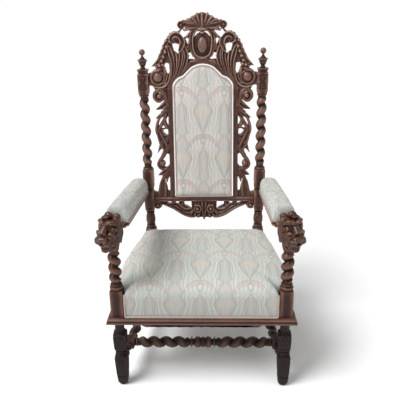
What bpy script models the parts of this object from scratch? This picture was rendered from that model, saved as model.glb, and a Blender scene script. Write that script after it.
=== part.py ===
"""A carved throne: an armchair in the Carolean revival manner, all of wood but for its upholstery.

Barley-twist posts carry a pierced and carved back, padded arms end in lion heads, and an H of
twisted stretchers ties the legs. Metres, +Z up, the chair faces -Y. Left and right are as seen
from its front: the pieces named left stand at -X. The origin is at floor level, in the middle
of the floor plan.
"""
import math

import bmesh
import bpy
import numpy as np
from mathutils import Vector

# Clearances between pieces that touch, of wood and of upholstery
JOINT_GAP = 0.0003
PAD_GAP = 0.0012

# Floor plan: distances between the centres of the legs
FRONT_SPACING = 0.609
BACK_SPACING = 0.486
SEAT_DEPTH = 0.5465

# Seat: heights from the floor, and above the underside of the seat frame
SEAT_FRAME_BOTTOM = 0.280
MOULDING_HEIGHT = 0.024
MOULDING_PROUD = 0.016
SEAT_RAIL_HEIGHT = 0.062
RAIL_THICKNESS = 0.024
SEAT_SKIRT = 0.005
SEAT_EDGE_RISE = 0.106
SEAT_CROWN_RISE = 0.170
SEAT_BLOCK_RISE = 0.128
BACK_BEND_RISE = 0.137
BASE_RISE = 0.156

# Lean of the back: metres back, and metres out to each side, for each metre up
RAKE = 0.0889
POST_SPLAY = 0.0153
REAR_FOOT_KICK = 0.022

# Turned and squared members
POST_SQUARE = 0.048
FRONT_SQUARE = 0.047
REAR_LEG_SQUARE = 0.044
TWIST_ROPE = 0.0150
TWIST_OFFSET = 0.0080
BACK_TWIST_TURNS = 6
FRONT_TWIST_TURNS = 3

# Stretchers
STRETCHER_HEIGHT = 0.103
STRETCHER_SQUARE = 0.040
CROSS_SETBACK = 0.115
CROSS_TURNS = 4
SIDE_TURNS = 5
BARREL_HALF = 0.034
BARREL_RADIUS = 0.0212
COLLAR_PLACE = 0.045
COLLAR_RADIUS = 0.0205
CROSS_TWIST_START = 0.057
CROSS_TWIST_END = 0.256

# Scalloped apron under the front of the seat frame
APRON_HALF = 0.220
APRON_DROP = 0.020
APRON_THICKNESS = 0.012
APRON_SETBACK = 0.012
SCALLOPS = 11
SCALLOP_DEPTH = 0.009

# The back: its lower rail, the upholstered panel, the stiles beside it and the crest above
LOWER_RAIL_TOP = 0.561
LOWER_RAIL_HEIGHT = 0.020
BACK_APRON_DROP = 0.098
PANEL_HALF = 0.128
PANEL_SIDE = 0.4805
PANEL_DOME = 0.095
PANEL_FRONT = 0.014
PANEL_CROWN = 0.012
PANEL_BACK = 0.010
STILE_WIDTH = 0.021
CREST_RISE = 0.204
CARVING_FRONT = 0.020
CARVING_BACK = 0.014
UPPER_BLOCK_HEIGHT = 0.113
UPPER_BLOCK_DROP = 0.030
FINIAL_HEIGHT = 0.080
VOLUTE_RADIUS = 0.029
VOLUTE_EYE = 0.008
VOLUTE_BAND = 0.0065
VOLUTE_TURNS = 1.4
VOLUTE_START = math.radians(137.5)

# Arms and the lion heads at their ends
ARM_SPREAD = 0.285
ARM_WIDTH = 0.068
ARM_THICKNESS = 0.013
ARM_HEIGHT = 0.650
ARM_FALL = 0.128
ARM_BLOCK_RISE = 0.119
ARM_PAD_WIDTH = 0.078
ARM_PAD_THICKNESS = 0.066
HEAD_HEIGHT = 0.094
HEAD_AHEAD = 0.032
HEAD_TURN = math.radians(28)
HEAD_BOW = math.radians(12)

# Facets
RING_SIDES = 8
STRETCHER_SIDES = 6
TWIST_STEPS = 5
SCROLL_STEPS = 6
BOSS_SIDES = 7
SMOOTH_ANGLE = math.radians(40)

# Heights that follow from the sizes above
SEAT_BLOCK_TOP = SEAT_FRAME_BOTTOM + SEAT_BLOCK_RISE
BACK_BEND = SEAT_FRAME_BOTTOM + BACK_BEND_RISE
LOWER_BLOCK_BOTTOM = LOWER_RAIL_TOP - 0.061
LOWER_BLOCK_TOP = ARM_HEIGHT - ARM_FALL * SEAT_DEPTH + ARM_BLOCK_RISE + 0.006
FRONT_TWIST_TOP = ARM_HEIGHT - HEAD_HEIGHT
PANEL_BOTTOM = LOWER_RAIL_TOP + PAD_GAP
PANEL_SHOULDER = PANEL_BOTTOM + PANEL_SIDE
PANEL_TOP = PANEL_SHOULDER + PANEL_DOME
CREST_FOOT = PANEL_SHOULDER - 0.006
CREST_TOP = PANEL_TOP + CREST_RISE
UPPER_BLOCK_BOTTOM = CREST_FOOT - UPPER_BLOCK_DROP
UPPER_BLOCK_TOP = UPPER_BLOCK_BOTTOM + UPPER_BLOCK_HEIGHT
FINIAL_TOP = UPPER_BLOCK_TOP + FINIAL_HEIGHT

# Colours of an old dark walnut and of a pale woven tapestry
WALNUT = (0.085, 0.036, 0.022, 1.0)
DARK_WALNUT = (0.045, 0.020, 0.013, 1.0)
TAPESTRY = (0.55, 0.55, 0.50, 1.0)


def clear_scene():
    """Remove every object that the file starts with."""
    for item in list(bpy.data.objects):
        bpy.data.objects.remove(item, do_unlink=True)


def material(name, colour, roughness):
    """A Principled material of one colour."""
    made = bpy.data.materials.new(name)
    made.use_nodes = True
    shader = made.node_tree.nodes["Principled BSDF"]
    shader.inputs["Base Color"].default_value = colour
    shader.inputs["Roughness"].default_value = roughness
    shader.inputs["Metallic"].default_value = 0.0
    return made


# Shapes are pairs (points, faces) until they become objects
def ring_loft(rings):
    """Skin a row of rings of equal counts, and close both ends."""
    rings = np.asarray(rings, dtype=float)
    count, sides = rings.shape[:2]
    points = rings.reshape(-1, 3)
    faces = []
    for row in range(count - 1):
        for side in range(sides):
            after = (side + 1) % sides
            faces.append((row * sides + side, row * sides + after,
                          (row + 1) * sides + after, (row + 1) * sides + side))
    faces.append(tuple(range(sides - 1, -1, -1)))
    faces.append(tuple((count - 1) * sides + side for side in range(sides)))
    return points, faces


def outward(mesh):
    """Turn every face outwards."""
    work = bmesh.new()
    work.from_mesh(mesh)
    bmesh.ops.recalc_face_normals(work, faces=work.faces)
    work.to_mesh(mesh)
    work.free()


def fill_pockets(mesh):
    """Fill the small sealed pockets that are left where carved strands cross, keeping the outer skin."""
    work = bmesh.new()
    work.from_mesh(mesh)
    loose = set(work.verts)
    skins = []
    while loose:
        reached = [loose.pop()]
        skin = []
        while reached:
            vertex = reached.pop()
            skin.append(vertex)
            for edge in vertex.link_edges:
                other = edge.other_vert(vertex)
                if other in loose:
                    loose.discard(other)
                    reached.append(other)
        skins.append(skin)
    skins.sort(key=len)
    for skin in skins[:-1]:
        bmesh.ops.delete(work, geom=skin, context="VERTS")
    work.to_mesh(mesh)
    work.free()


def make_object(name, shape, finish):
    """Turn one closed shape into a named object."""
    points, faces = shape
    mesh = bpy.data.meshes.new(name)
    mesh.from_pydata([tuple(point) for point in points], [], faces)
    outward(mesh)
    mesh.shade_smooth()
    mesh.set_sharp_from_angle(angle=SMOOTH_ANGLE)
    mesh.materials.append(finish)
    made = bpy.data.objects.new(name, mesh)
    bpy.context.collection.objects.link(made)
    return made


def unite(name, shapes, finish, opening=None):
    """Fuse overlapping closed shapes into one body with Boolean unions, then cut an opening in it.

    The flat backs of the carving lie in one plane, which the exact solver leaves with open edges.
    """
    base = make_object(name, shapes[0], finish)
    steps = [("UNION", shape) for shape in shapes[1:]]
    if opening is not None:
        steps.append(("DIFFERENCE", opening))
    cutters = []
    for index, (operation, shape) in enumerate(steps):
        other = make_object(f"{name}_part_{index}", shape, finish)
        other.hide_render = True
        other.display_type = "WIRE"
        join = base.modifiers.new(f"{operation.lower()}_{index}", "BOOLEAN")
        join.operation = operation
        join.solver = "MANIFOLD"
        join.object = other
        cutters.append(other)
    fused = bpy.data.meshes.new_from_object(base.evaluated_get(bpy.context.evaluated_depsgraph_get()))
    base.modifiers.clear()
    base.data = fused
    for other in cutters:
        bpy.data.objects.remove(other, do_unlink=True)
    fill_pockets(base.data)
    outward(base.data)
    base.data.shade_smooth()
    base.data.set_sharp_from_angle(angle=SMOOTH_ANGLE)
    return base


def round_ring(radius, sides=RING_SIDES):
    """Points of a circle."""
    angles = (np.arange(sides) + 0.5) * 2 * math.pi / sides
    return np.column_stack([radius * np.cos(angles), radius * np.sin(angles)])


def square_ring(side, chamfer):
    """Points of a square with its corners taken off."""
    half = side / 2
    inner = half - chamfer
    corners = [(half, inner), (inner, half), (-inner, half), (-half, inner),
               (-half, -inner), (-inner, -half), (inner, -half), (half, -inner)]
    return np.array(corners)


def block_ring(side):
    """Six points of a square block on a stretcher: its corners, and the middles of two faces."""
    half = side / 2
    return np.array([(half, half), (0, half), (-half, half), (-half, -half), (0, -half), (half, -half)])


def twist_rings(start, end, turns, hand, sides=RING_SIDES, rope=TWIST_ROPE, offset=TWIST_OFFSET):
    """Stations (height, outline) of a single-start barley twist.

    The section is a circle of radius rope whose centre runs round the axis at the offset,
    once for each turn, and comes back to the axis over the first and last quarter turn.
    """
    steps = turns * TWIST_STEPS
    stations = []
    for step in range(steps + 1):
        share = step / steps
        turn = hand * 2 * math.pi * turns * share
        lift = min(1.0, 4 * turns * share, 4 * turns * (1 - share))
        centre = np.array([math.cos(turn), math.sin(turn)]) * offset * lift
        stations.append((start + (end - start) * share, round_ring(rope * (0.9 + 0.1 * lift), sides) + centre))
    return stations


def stand(stations, axis):
    """Place upright stations on an axis, a function of height that gives the centre (x, y)."""
    rings = []
    for height, outline in stations:
        centre_x, centre_y = axis(height)
        rings.append([(centre_x + x, centre_y + y, height) for x, y in outline])
    return ring_loft(rings)


def lay(stations, start, end, across):
    """Place stations along a level line from start to end, with their width along a given way."""
    start = np.array(start)
    end = np.array(end)
    along = (end - start) / np.linalg.norm(end - start)
    across = np.array(across)
    up = np.array([0.0, 0.0, 1.0])
    rings = []
    for distance, outline in stations:
        rings.append([start + along * distance + across * a + up * b for a, b in outline])
    return ring_loft(rings)


def back_y(height):
    """Depth of the middle of the back at a height, following its rake."""
    return SEAT_DEPTH + RAKE * (height - BACK_BEND)


def back_post_axis(side):
    """Centre line of a back post: raked and splayed above the seat, kicked back below it."""
    def axis(height):
        if height >= BACK_BEND:
            rise = height - BACK_BEND
            return side * (BACK_SPACING / 2 + POST_SPLAY * rise), back_y(height)
        ankle = STRETCHER_HEIGHT - STRETCHER_SQUARE * 0.75
        return side * BACK_SPACING / 2, SEAT_DEPTH + REAR_FOOT_KICK * max(0.0, 1 - height / ankle)
    return axis


def back_post(side):
    """Rear leg, baluster, arm block, twist, upper block and finial in one turned and squared post."""
    half = POST_SQUARE / 2
    leg = REAR_LEG_SQUARE
    baluster = SEAT_FRAME_BOTTOM + BASE_RISE + 0.014
    neck = LOWER_BLOCK_BOTTOM - 0.012
    arm_top = LOWER_BLOCK_TOP - 0.018
    cap = UPPER_BLOCK_TOP - 0.018
    stations = [
        (0.0, square_ring(leg * 0.86, 0.004)),
        (STRETCHER_HEIGHT - STRETCHER_SQUARE * 0.75, square_ring(leg, 0.003)),
        (SEAT_FRAME_BOTTOM, square_ring(leg, 0.003)),
        (SEAT_FRAME_BOTTOM + 0.001, square_ring(POST_SQUARE, 0.003)),
        (BACK_BEND, square_ring(POST_SQUARE, 0.003)),
        (BACK_BEND + 0.008, round_ring(half)),
        (BACK_BEND + 0.016, round_ring(half * 0.80)),
        (baluster, round_ring(half * 0.98)),
        (baluster + 0.014, round_ring(half * 0.86)),
        (neck - 0.006, round_ring(half * 0.56)),
        (neck, round_ring(half * 0.74)),
        (neck + 0.006, round_ring(half * 0.60)),
        (LOWER_BLOCK_BOTTOM, square_ring(POST_SQUARE * 0.84, 0.009)),
        (LOWER_BLOCK_BOTTOM + 0.022, square_ring(POST_SQUARE, 0.008)),
        (LOWER_BLOCK_BOTTOM + 0.078, square_ring(POST_SQUARE, 0.008)),
        (LOWER_BLOCK_BOTTOM + 0.100, square_ring(POST_SQUARE * 0.84, 0.009)),
        (arm_top - 0.062, square_ring(POST_SQUARE, 0.004)),
        (arm_top, square_ring(POST_SQUARE, 0.004)),
        (LOWER_BLOCK_TOP - 0.006, round_ring(half * 0.86)),
        (LOWER_BLOCK_TOP, round_ring(half * 0.70)),
    ]
    stations += twist_rings(LOWER_BLOCK_TOP + 0.006, UPPER_BLOCK_BOTTOM - 0.006, BACK_TWIST_TURNS, side)
    stations += [
        (UPPER_BLOCK_BOTTOM, round_ring(half * 0.66)),
        (UPPER_BLOCK_BOTTOM + 0.018, square_ring(POST_SQUARE, 0.008)),
        (cap - 0.004, square_ring(POST_SQUARE, 0.008)),
        (cap, square_ring(POST_SQUARE * 0.80, 0.006)),
        (UPPER_BLOCK_TOP, square_ring(POST_SQUARE * 0.84, 0.006)),
        (UPPER_BLOCK_TOP + 0.004, round_ring(half * 0.36)),
        (UPPER_BLOCK_TOP + 0.030, round_ring(half * 0.70)),
        (UPPER_BLOCK_TOP + 0.036, round_ring(half * 0.88)),
        (UPPER_BLOCK_TOP + 0.043, round_ring(half * 0.62)),
        (FINIAL_TOP - 0.026, round_ring(half * 0.20)),
        (FINIAL_TOP - 0.021, round_ring(half * 0.46)),
        (FINIAL_TOP - 0.012, round_ring(half * 0.54)),
        (FINIAL_TOP - 0.003, round_ring(half * 0.34)),
        (FINIAL_TOP, round_ring(half * 0.10)),
    ]
    return stand(stations, back_post_axis(side))


def front_post(side):
    """Foot, carved blocks, seat block and twist up to the lion's chin, in one post."""
    square = FRONT_SQUARE
    half = square / 2
    low_block = STRETCHER_HEIGHT - 0.046
    low_top = STRETCHER_HEIGHT + 0.034
    mid_bottom = 0.158
    mid_top = 0.230
    stations = [
        (0.0, round_ring(half * 0.62)),
        (0.010, round_ring(half * 0.84)),
        (0.030, square_ring(square * 0.84, 0.007)),
        (low_block, square_ring(square * 0.96, 0.005)),
        (low_top - 0.010, square_ring(square * 1.04, 0.006)),
        (low_top, round_ring(half * 0.94)),
        (low_top + 0.006, round_ring(half * 0.80)),
        (mid_bottom - 0.008, round_ring(half * 0.98)),
        (mid_bottom, square_ring(square * 0.86, 0.006)),
        (mid_bottom + 0.016, square_ring(square, 0.006)),
        (mid_top - 0.014, square_ring(square * 1.06, 0.006)),
        (mid_top, round_ring(half * 0.96)),
        (mid_top + 0.012, round_ring(half * 0.78)),
        (SEAT_FRAME_BOTTOM - 0.016, round_ring(half * 0.92)),
        (SEAT_FRAME_BOTTOM - 0.008, square_ring(square, 0.002)),
        (SEAT_BLOCK_TOP, square_ring(square, 0.002)),
        (SEAT_BLOCK_TOP + 0.004, round_ring(half * 0.96)),
        (SEAT_BLOCK_TOP + 0.012, round_ring(half * 1.02)),
        (SEAT_BLOCK_TOP + 0.018, round_ring(half * 0.80)),
        (SEAT_BLOCK_TOP + 0.026, round_ring(half * 0.84)),
    ]
    stations += twist_rings(SEAT_BLOCK_TOP + 0.032, FRONT_TWIST_TOP, FRONT_TWIST_TURNS, side)
    centre = side * FRONT_SPACING / 2
    return stand(stations, lambda height: (centre, 0.0))


def side_axis(side, depth):
    """X of the line from front leg to rear leg, at a depth."""
    share = depth / SEAT_DEPTH
    return side * (FRONT_SPACING / 2 * (1 - share) + BACK_SPACING / 2 * share)


def side_stretcher(side):
    """Twisted stretcher from a front leg to a rear leg, with a block for the cross stretcher."""
    rear_x, rear_y = back_post_axis(side)(STRETCHER_HEIGHT)
    front = np.array([side * FRONT_SPACING / 2, 0.0, STRETCHER_HEIGHT])
    rear = np.array([rear_x, rear_y, STRETCHER_HEIGHT])
    along = (rear - front) / np.linalg.norm(rear - front)
    start = front + along * (FRONT_SQUARE * 0.55 + JOINT_GAP) / along[1]
    end = rear - along * (REAR_LEG_SQUARE * 0.5 + JOINT_GAP) / along[1]
    length = np.linalg.norm(end - start)
    cross = (CROSS_SETBACK - start[1]) / along[1]
    reach = STRETCHER_SQUARE * 0.55
    thin = round_ring(0.014, STRETCHER_SIDES)
    block = block_ring(STRETCHER_SQUARE)
    tenon = block_ring(STRETCHER_SQUARE * 0.9)
    stations = [(0.0, thin)]
    stations += twist_rings(0.006, cross - reach - 0.006, 1, side, STRETCHER_SIDES)
    stations += [(cross - reach, thin), (cross - reach + 0.004, block), (cross + reach - 0.004, block),
                 (cross + reach, thin)]
    stations += twist_rings(cross + reach + 0.006, length - 0.034, SIDE_TURNS, side, STRETCHER_SIDES)
    stations += [(length - 0.028, thin), (length - 0.024, tenon), (length, tenon)]
    return lay(stations, start, end, (1.0, 0.0, 0.0))


def cross_stretcher():
    """Stretcher between the side stretchers: a barrel in the middle, two collars, and a twist each way.

    One half is given as distances out from the middle, and mirrored, so the twists are of opposite hand.
    """
    lean = abs(side_axis(1, 1.0) - side_axis(1, 0.0))
    reach = side_axis(1, CROSS_SETBACK) - STRETCHER_SQUARE / 2 * (1 + lean) - JOINT_GAP

    def disc(radius):
        return round_ring(radius, STRETCHER_SIDES)

    half = [(0.003, disc(BARREL_RADIUS * 0.93)), (0.008, disc(BARREL_RADIUS)), (BARREL_HALF * 0.65, disc(BARREL_RADIUS)),
            (BARREL_HALF * 0.90, disc(BARREL_RADIUS * 0.80)), (BARREL_HALF, disc(BARREL_RADIUS * 0.60)),
            (COLLAR_PLACE - 0.0025, disc(BARREL_RADIUS * 0.60)), (COLLAR_PLACE - 0.0015, disc(COLLAR_RADIUS)),
            (COLLAR_PLACE + 0.0015, disc(COLLAR_RADIUS)), (COLLAR_PLACE + 0.0025, disc(BARREL_RADIUS * 0.60))]
    half += twist_rings(CROSS_TWIST_START, CROSS_TWIST_END, CROSS_TURNS, -1, STRETCHER_SIDES)
    half += [(CROSS_TWIST_END + 0.006, disc(0.014)), (reach - 0.004, disc(0.017)), (reach, disc(0.017))]
    mirrored = [(-distance, outline) for distance, outline in reversed(half)]
    stations = [(reach + distance, outline) for distance, outline in mirrored + half]
    middle = (CROSS_SETBACK, STRETCHER_HEIGHT)
    return lay(stations, (-reach, *middle), (reach, *middle), (0.0, 1.0, 0.0))


def box(low, high):
    """A plain block between two corners."""
    (x0, y0, z0), (x1, y1, z1) = low, high
    lower = [(x0, y0, z0), (x1, y0, z0), (x1, y1, z0), (x0, y1, z0)]
    upper = [(x, y, z1) for x, y, z in lower]
    return ring_loft([lower, upper])


def prism(outline, bottom, top):
    """An upright prism over a floor outline."""
    return ring_loft([[(x, y, bottom) for x, y in outline], [(x, y, top) for x, y in outline]])


def mitred(profile, corners):
    """Carry a profile of (out, up) points past corners given as (x, y, out direction x, y)."""
    rings = []
    for x, y, out_x, out_y in corners:
        rings.append([(x + out * out_x, y + out * out_y, SEAT_FRAME_BOTTOM + up) for out, up in profile])
    return ring_loft(rings)


def moulding_profile():
    """Ovolo, fillet and bead of the seat moulding, from its lower inner corner."""
    proud = MOULDING_PROUD
    high = MOULDING_HEIGHT
    return [(0, 0), (proud * 0.75, 0), (proud, high * 0.18), (proud, high * 0.36), (proud * 0.70, high * 0.50),
            (proud * 0.84, high * 0.68), (proud * 0.80, high * 0.84), (proud * 0.50, high), (0, high)]


FRONT_FACE = -FRONT_SQUARE / 2
FRONT_OUTER = FRONT_SPACING / 2 + FRONT_SQUARE / 2
FRONT_INNER = FRONT_SPACING / 2 - FRONT_SQUARE / 2
BACK_OUTER = BACK_SPACING / 2 + POST_SQUARE / 2
BACK_FACE = SEAT_DEPTH - POST_SQUARE / 2


def front_moulding():
    """Moulding across the front of the seat frame, mitred at both corners."""
    corner_x = FRONT_OUTER + JOINT_GAP
    corner_y = FRONT_FACE - JOINT_GAP
    return mitred(moulding_profile(), [(-corner_x, corner_y, -1, -1), (corner_x, corner_y, 1, -1)])


def side_moulding(side):
    """Moulding along one side, from the mitre round the front post to the back post."""
    out_front = side * (FRONT_OUTER + JOINT_GAP)
    out_back = side * (BACK_OUTER + JOINT_GAP)
    mitre = FRONT_FACE - JOINT_GAP + 2 * JOINT_GAP
    return mitred(moulding_profile(), [(out_front, mitre, side, -1), (out_front, -FRONT_FACE, side, 0),
                                       (out_back, BACK_FACE, side, 0),
                                       (out_back, SEAT_DEPTH + POST_SQUARE / 2, side, 0)])


def front_rail():
    """Rail between the front posts, behind the moulding and under the seat cloth."""
    reach = FRONT_INNER - JOINT_GAP
    return box((-reach, FRONT_FACE, SEAT_FRAME_BOTTOM),
               (reach, FRONT_FACE + RAIL_THICKNESS, SEAT_FRAME_BOTTOM + SEAT_RAIL_HEIGHT))


def back_rail():
    """Rail between the back posts."""
    reach = BACK_SPACING / 2 - POST_SQUARE / 2 - JOINT_GAP
    middle = SEAT_DEPTH
    return box((-reach, middle - RAIL_THICKNESS / 2, SEAT_FRAME_BOTTOM),
               (reach, middle + RAIL_THICKNESS / 2, SEAT_FRAME_BOTTOM + SEAT_RAIL_HEIGHT))


def side_line(depth, front, back):
    """X on the straight line from (front, rear face of the front post) to (back, face of the back post)."""
    start = -FRONT_FACE
    return front + (back - front) * (depth - start) / (BACK_FACE - start)


def side_rail(side):
    """Rail between a front post and a back post."""
    start = -FRONT_FACE + JOINT_GAP
    end = BACK_FACE - JOINT_GAP
    outer = [side_line(depth, FRONT_OUTER, BACK_OUTER) for depth in (start, end)]
    outline = [(side * (outer[0] - RAIL_THICKNESS), start), (side * outer[0], start),
               (side * outer[1], end), (side * (outer[1] - RAIL_THICKNESS), end)]
    return prism(outline, SEAT_FRAME_BOTTOM, SEAT_FRAME_BOTTOM + SEAT_RAIL_HEIGHT)


def front_apron():
    """Strip with a scalloped lower edge, hung under the front rail."""
    top = SEAT_FRAME_BOTTOM - JOINT_GAP
    steps = SCALLOPS * 4
    front = FRONT_FACE + APRON_SETBACK
    outline = [(APRON_HALF, top), (-APRON_HALF, top)]
    for step in range(steps + 1):
        share = step / steps
        dip = abs(math.sin(math.pi * share * SCALLOPS))
        outline.append((APRON_HALF * (2 * share - 1), top - APRON_DROP + SCALLOP_DEPTH * (1 - dip)))
    return ring_loft([[(x, front, z) for x, z in outline], [(x, front + APRON_THICKNESS, z) for x, z in outline]])


def seat_outline(proud):
    """Outline of the seat cloth, notched round the front blocks."""
    inner = FRONT_INNER - PAD_GAP
    notch = -FRONT_FACE + PAD_GAP
    rear = BACK_FACE - PAD_GAP
    side_front = side_line(notch, FRONT_OUTER + proud, BACK_OUTER + proud)
    side_rear = side_line(rear, FRONT_OUTER + proud, BACK_OUTER + proud)
    right = [(inner, FRONT_FACE - proud), (inner, notch), (side_front, notch), (side_rear, rear)]
    return right + [(-x, y) for x, y in reversed(right)]


def seat_pad():
    """Stuffed seat: a crowned body over the rails, and a skirt of cloth down to the moulding."""
    rail_top = SEAT_FRAME_BOTTOM + SEAT_RAIL_HEIGHT + PAD_GAP
    skirt_foot = SEAT_FRAME_BOTTOM + MOULDING_HEIGHT + PAD_GAP
    outline = np.array(seat_outline(SEAT_SKIRT))
    centre = np.array([0.0, SEAT_DEPTH / 2])
    edge = SEAT_FRAME_BOTTOM + SEAT_EDGE_RISE
    crown = SEAT_FRAME_BOTTOM + SEAT_CROWN_RISE
    rings = []
    for spread, rise in ((1.0, None), (1.0, 0.0), (0.965, 0.36), (0.86, 0.68), (0.62, 0.92), (0.25, 1.0)):
        height = rail_top if rise is None else edge + (crown - edge) * rise
        rings.append([(x, y, height) for x, y in centre + (outline - centre) * spread])
    body = ring_loft(rings)
    inner = FRONT_INNER - 2 * PAD_GAP
    lap = 0.010
    front_skirt = box((-inner, FRONT_FACE - SEAT_SKIRT * 0.96, skirt_foot), (inner, FRONT_FACE - PAD_GAP, rail_top + lap))
    shapes = [body, front_skirt]
    for side in (-1, 1):
        start = -FRONT_FACE + 2 * PAD_GAP
        end = BACK_FACE - 2 * PAD_GAP
        wall = []
        for depth, proud in ((start, PAD_GAP), (start, SEAT_SKIRT * 0.96), (end, SEAT_SKIRT * 0.96), (end, PAD_GAP)):
            wall.append((side * (side_line(depth, FRONT_OUTER, BACK_OUTER) + proud), depth))
        shapes.append(prism(wall, skirt_foot, rail_top + lap))
    return shapes


def arm_bottom(depth):
    """Height of the underside of an arm, which falls towards the back."""
    return ARM_HEIGHT - ARM_FALL * depth


def arm_stations(front, back, outline, lift):
    """An arm section carried from front to back at the slope of the arm."""
    rings = []
    for depth in (front, (front + back) / 2, back):
        rings.append([(x, depth, arm_bottom(depth) + lift + z) for x, z in outline])
    return rings


def arm_back():
    """Depth where an arm meets the face of its back post."""
    height = arm_bottom(SEAT_DEPTH)
    return back_y(height) - POST_SQUARE / 2


def arm_pad(side):
    """Stuffed roll on an arm."""
    half = ARM_PAD_WIDTH / 2
    thick = ARM_PAD_THICKNESS
    outline = [(half * 0.90, 0), (half, thick * 0.40), (half * 0.78, thick * 0.84), (half * 0.32, thick),
               (-half * 0.32, thick), (-half * 0.78, thick * 0.84), (-half, thick * 0.40), (-half * 0.90, 0)]
    outline = [(side * ARM_SPREAD + x, z) for x, z in outline]
    rings = arm_stations(0.004, arm_back() - PAD_GAP, outline, ARM_THICKNESS + PAD_GAP)
    return ring_loft(rings)


def ball(centre, radii, sides=6):
    """A faceted ball or egg."""
    rings = []
    for level, spread in ((-0.88, 0.46), (0.0, 1.0), (0.88, 0.46)):
        angles = (np.arange(sides) + 0.5) * 2 * math.pi / sides
        rings.append([(centre[0] + radii[0] * spread * math.cos(angle),
                       centre[1] + radii[1] * spread * math.sin(angle),
                       centre[2] + radii[2] * level) for angle in angles])
    return ring_loft(rings)


def head_place(side):
    """Function from (sideways, forwards, up) in the lion head to space."""
    centre = Vector((side * FRONT_SPACING / 2, -HEAD_AHEAD, FRONT_TWIST_TOP + HEAD_HEIGHT * 0.94))
    forward = Vector((side * math.sin(HEAD_TURN) * math.cos(HEAD_BOW),
                      -math.cos(HEAD_TURN) * math.cos(HEAD_BOW), -math.sin(HEAD_BOW)))
    sideways = Vector((math.cos(HEAD_TURN), side * math.sin(HEAD_TURN), 0.0))
    upward = sideways.cross(forward)

    def place(across, ahead, up):
        return tuple(centre + sideways * across + forward * ahead + upward * up)
    return place


def wedge(place, stations):
    """A tapering block in the head: stations (ahead, middle up, half width, half height)."""
    rings = []
    for ahead, middle, wide, high in stations:
        rings.append([place(a * wide, ahead, middle + b * high)
                      for a, b in ((1, -0.6), (1, 0.6), (0.6, 1), (-0.6, 1), (-1, 0.6), (-1, -0.6), (-0.6, -1), (0.6, -1))])
    return ring_loft(rings)


def arm(side):
    """Arm board with the carved lion head at its front end."""
    half = ARM_WIDTH / 2
    outline = [(side * ARM_SPREAD - half, 0), (side * ARM_SPREAD + half, 0),
               (side * ARM_SPREAD + half, ARM_THICKNESS), (side * ARM_SPREAD - half, ARM_THICKNESS)]
    board = ring_loft(arm_stations(-0.024, arm_back() - JOINT_GAP, outline, 0.0))
    place = head_place(side)
    base = FRONT_TWIST_TOP + JOINT_GAP
    post_x = side * FRONT_SPACING / 2
    neck = stand([(base, round_ring(0.0175)), (base + 0.010, round_ring(0.023)), (base + 0.050, round_ring(0.031)),
                  (base + 0.095, round_ring(0.030)), (base + 0.128, round_ring(0.021))],
                 lambda height: (post_x, -HEAD_AHEAD * min(1.0, (height - base) / HEAD_HEIGHT)))
    head = wedge(place, [(-0.024, 0.002, 0.030, 0.030), (0.012, 0.002, 0.034, 0.034), (0.030, 0.000, 0.027, 0.024)])
    muzzle = wedge(place, [(0.020, -0.002, 0.024, 0.018), (0.050, -0.003, 0.018, 0.014), (0.074, -0.002, 0.012, 0.009)])
    jaw = wedge(place, [(-0.004, -0.030, 0.024, 0.014), (0.028, -0.036, 0.018, 0.010), (0.050, -0.034, 0.012, 0.007)])
    shapes = [board, neck, head, muzzle, jaw]
    for across in (-1, 1):
        shapes.append(ball(place(across * 0.022, 0.030, 0.020), (0.011, 0.011, 0.011)))
        shapes.append(ball(place(across * 0.033, -0.004, 0.010), (0.013, 0.014, 0.016)))
        shapes.append(ball(place(across * 0.030, 0.000, -0.022), (0.013, 0.013, 0.014)))
        lobe = (post_x - side * 0.006 + across * 0.0145, -HEAD_AHEAD, ARM_HEIGHT + 0.044)
        shapes.append(ball(lobe, (0.0150, 0.0150, 0.0180)))
    return shapes


def on_back(x, z, forward):
    """A point of the back while it still stands upright: across, up, and forwards of its middle."""
    return (x, -forward, z)


def lean(piece):
    """Lean an upright piece of the back to its rake, and set it at the back of the seat."""
    for vertex in piece.data.vertices:
        vertex.co.y += back_y(vertex.co.z)
    return piece


def smooth_path(points, stations):
    """Points along a Catmull-Rom curve through a few given ones, with the shares passed."""
    points = np.asarray(points, dtype=float)
    padded = np.vstack([2 * points[0] - points[1], points, 2 * points[-1] - points[-2]])
    where = np.linspace(0, len(points) - 1, stations)
    index = np.minimum(where.astype(int), len(points) - 2)
    local = (where - index)[:, None]
    before, start, end, after = (padded[index + shift] for shift in range(4))
    curve = 0.5 * (2 * start + (end - before) * local + (2 * before - 5 * start + 4 * end - after) * local ** 2
                   + (3 * start - before - 3 * end + after) * local ** 3)
    return curve, where / (len(points) - 1)


def blade(points, widths, stations=6, front=CARVING_FRONT):
    """A carved leaf or strand along a path in the back: flat behind, ridged in front."""
    curve, share = smooth_path(points, stations)
    wide = np.interp(share, np.linspace(0, 1, len(widths)), widths)
    ahead = np.gradient(curve, axis=0)
    ahead /= np.linalg.norm(ahead, axis=1)[:, None]
    swell = 0.45 + 0.55 * wide / max(widths)
    rings = []
    for (x, z), (tx, tz), half, lift in zip(curve, ahead, wide, swell):
        rings.append([on_back(x - tz * half, z + tx * half, -CARVING_BACK), on_back(x, z, front * lift),
                      on_back(x + tz * half, z - tx * half, -CARVING_BACK)])
    return ring_loft(rings)


def boss(x, z, wide, high, front=CARVING_FRONT, sides=BOSS_SIDES):
    """A rounded lump in the back, flat behind."""
    rings = []
    angles = (np.arange(sides) + 0.5) * 2 * math.pi / sides
    for forward, spread in ((-CARVING_BACK, 1.0), (front * 0.4, 0.94), (front, 0.50)):
        rings.append([on_back(x + wide * spread * math.cos(angle), z + high * spread * math.sin(angle), forward)
                      for angle in angles])
    return ring_loft(rings)


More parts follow.
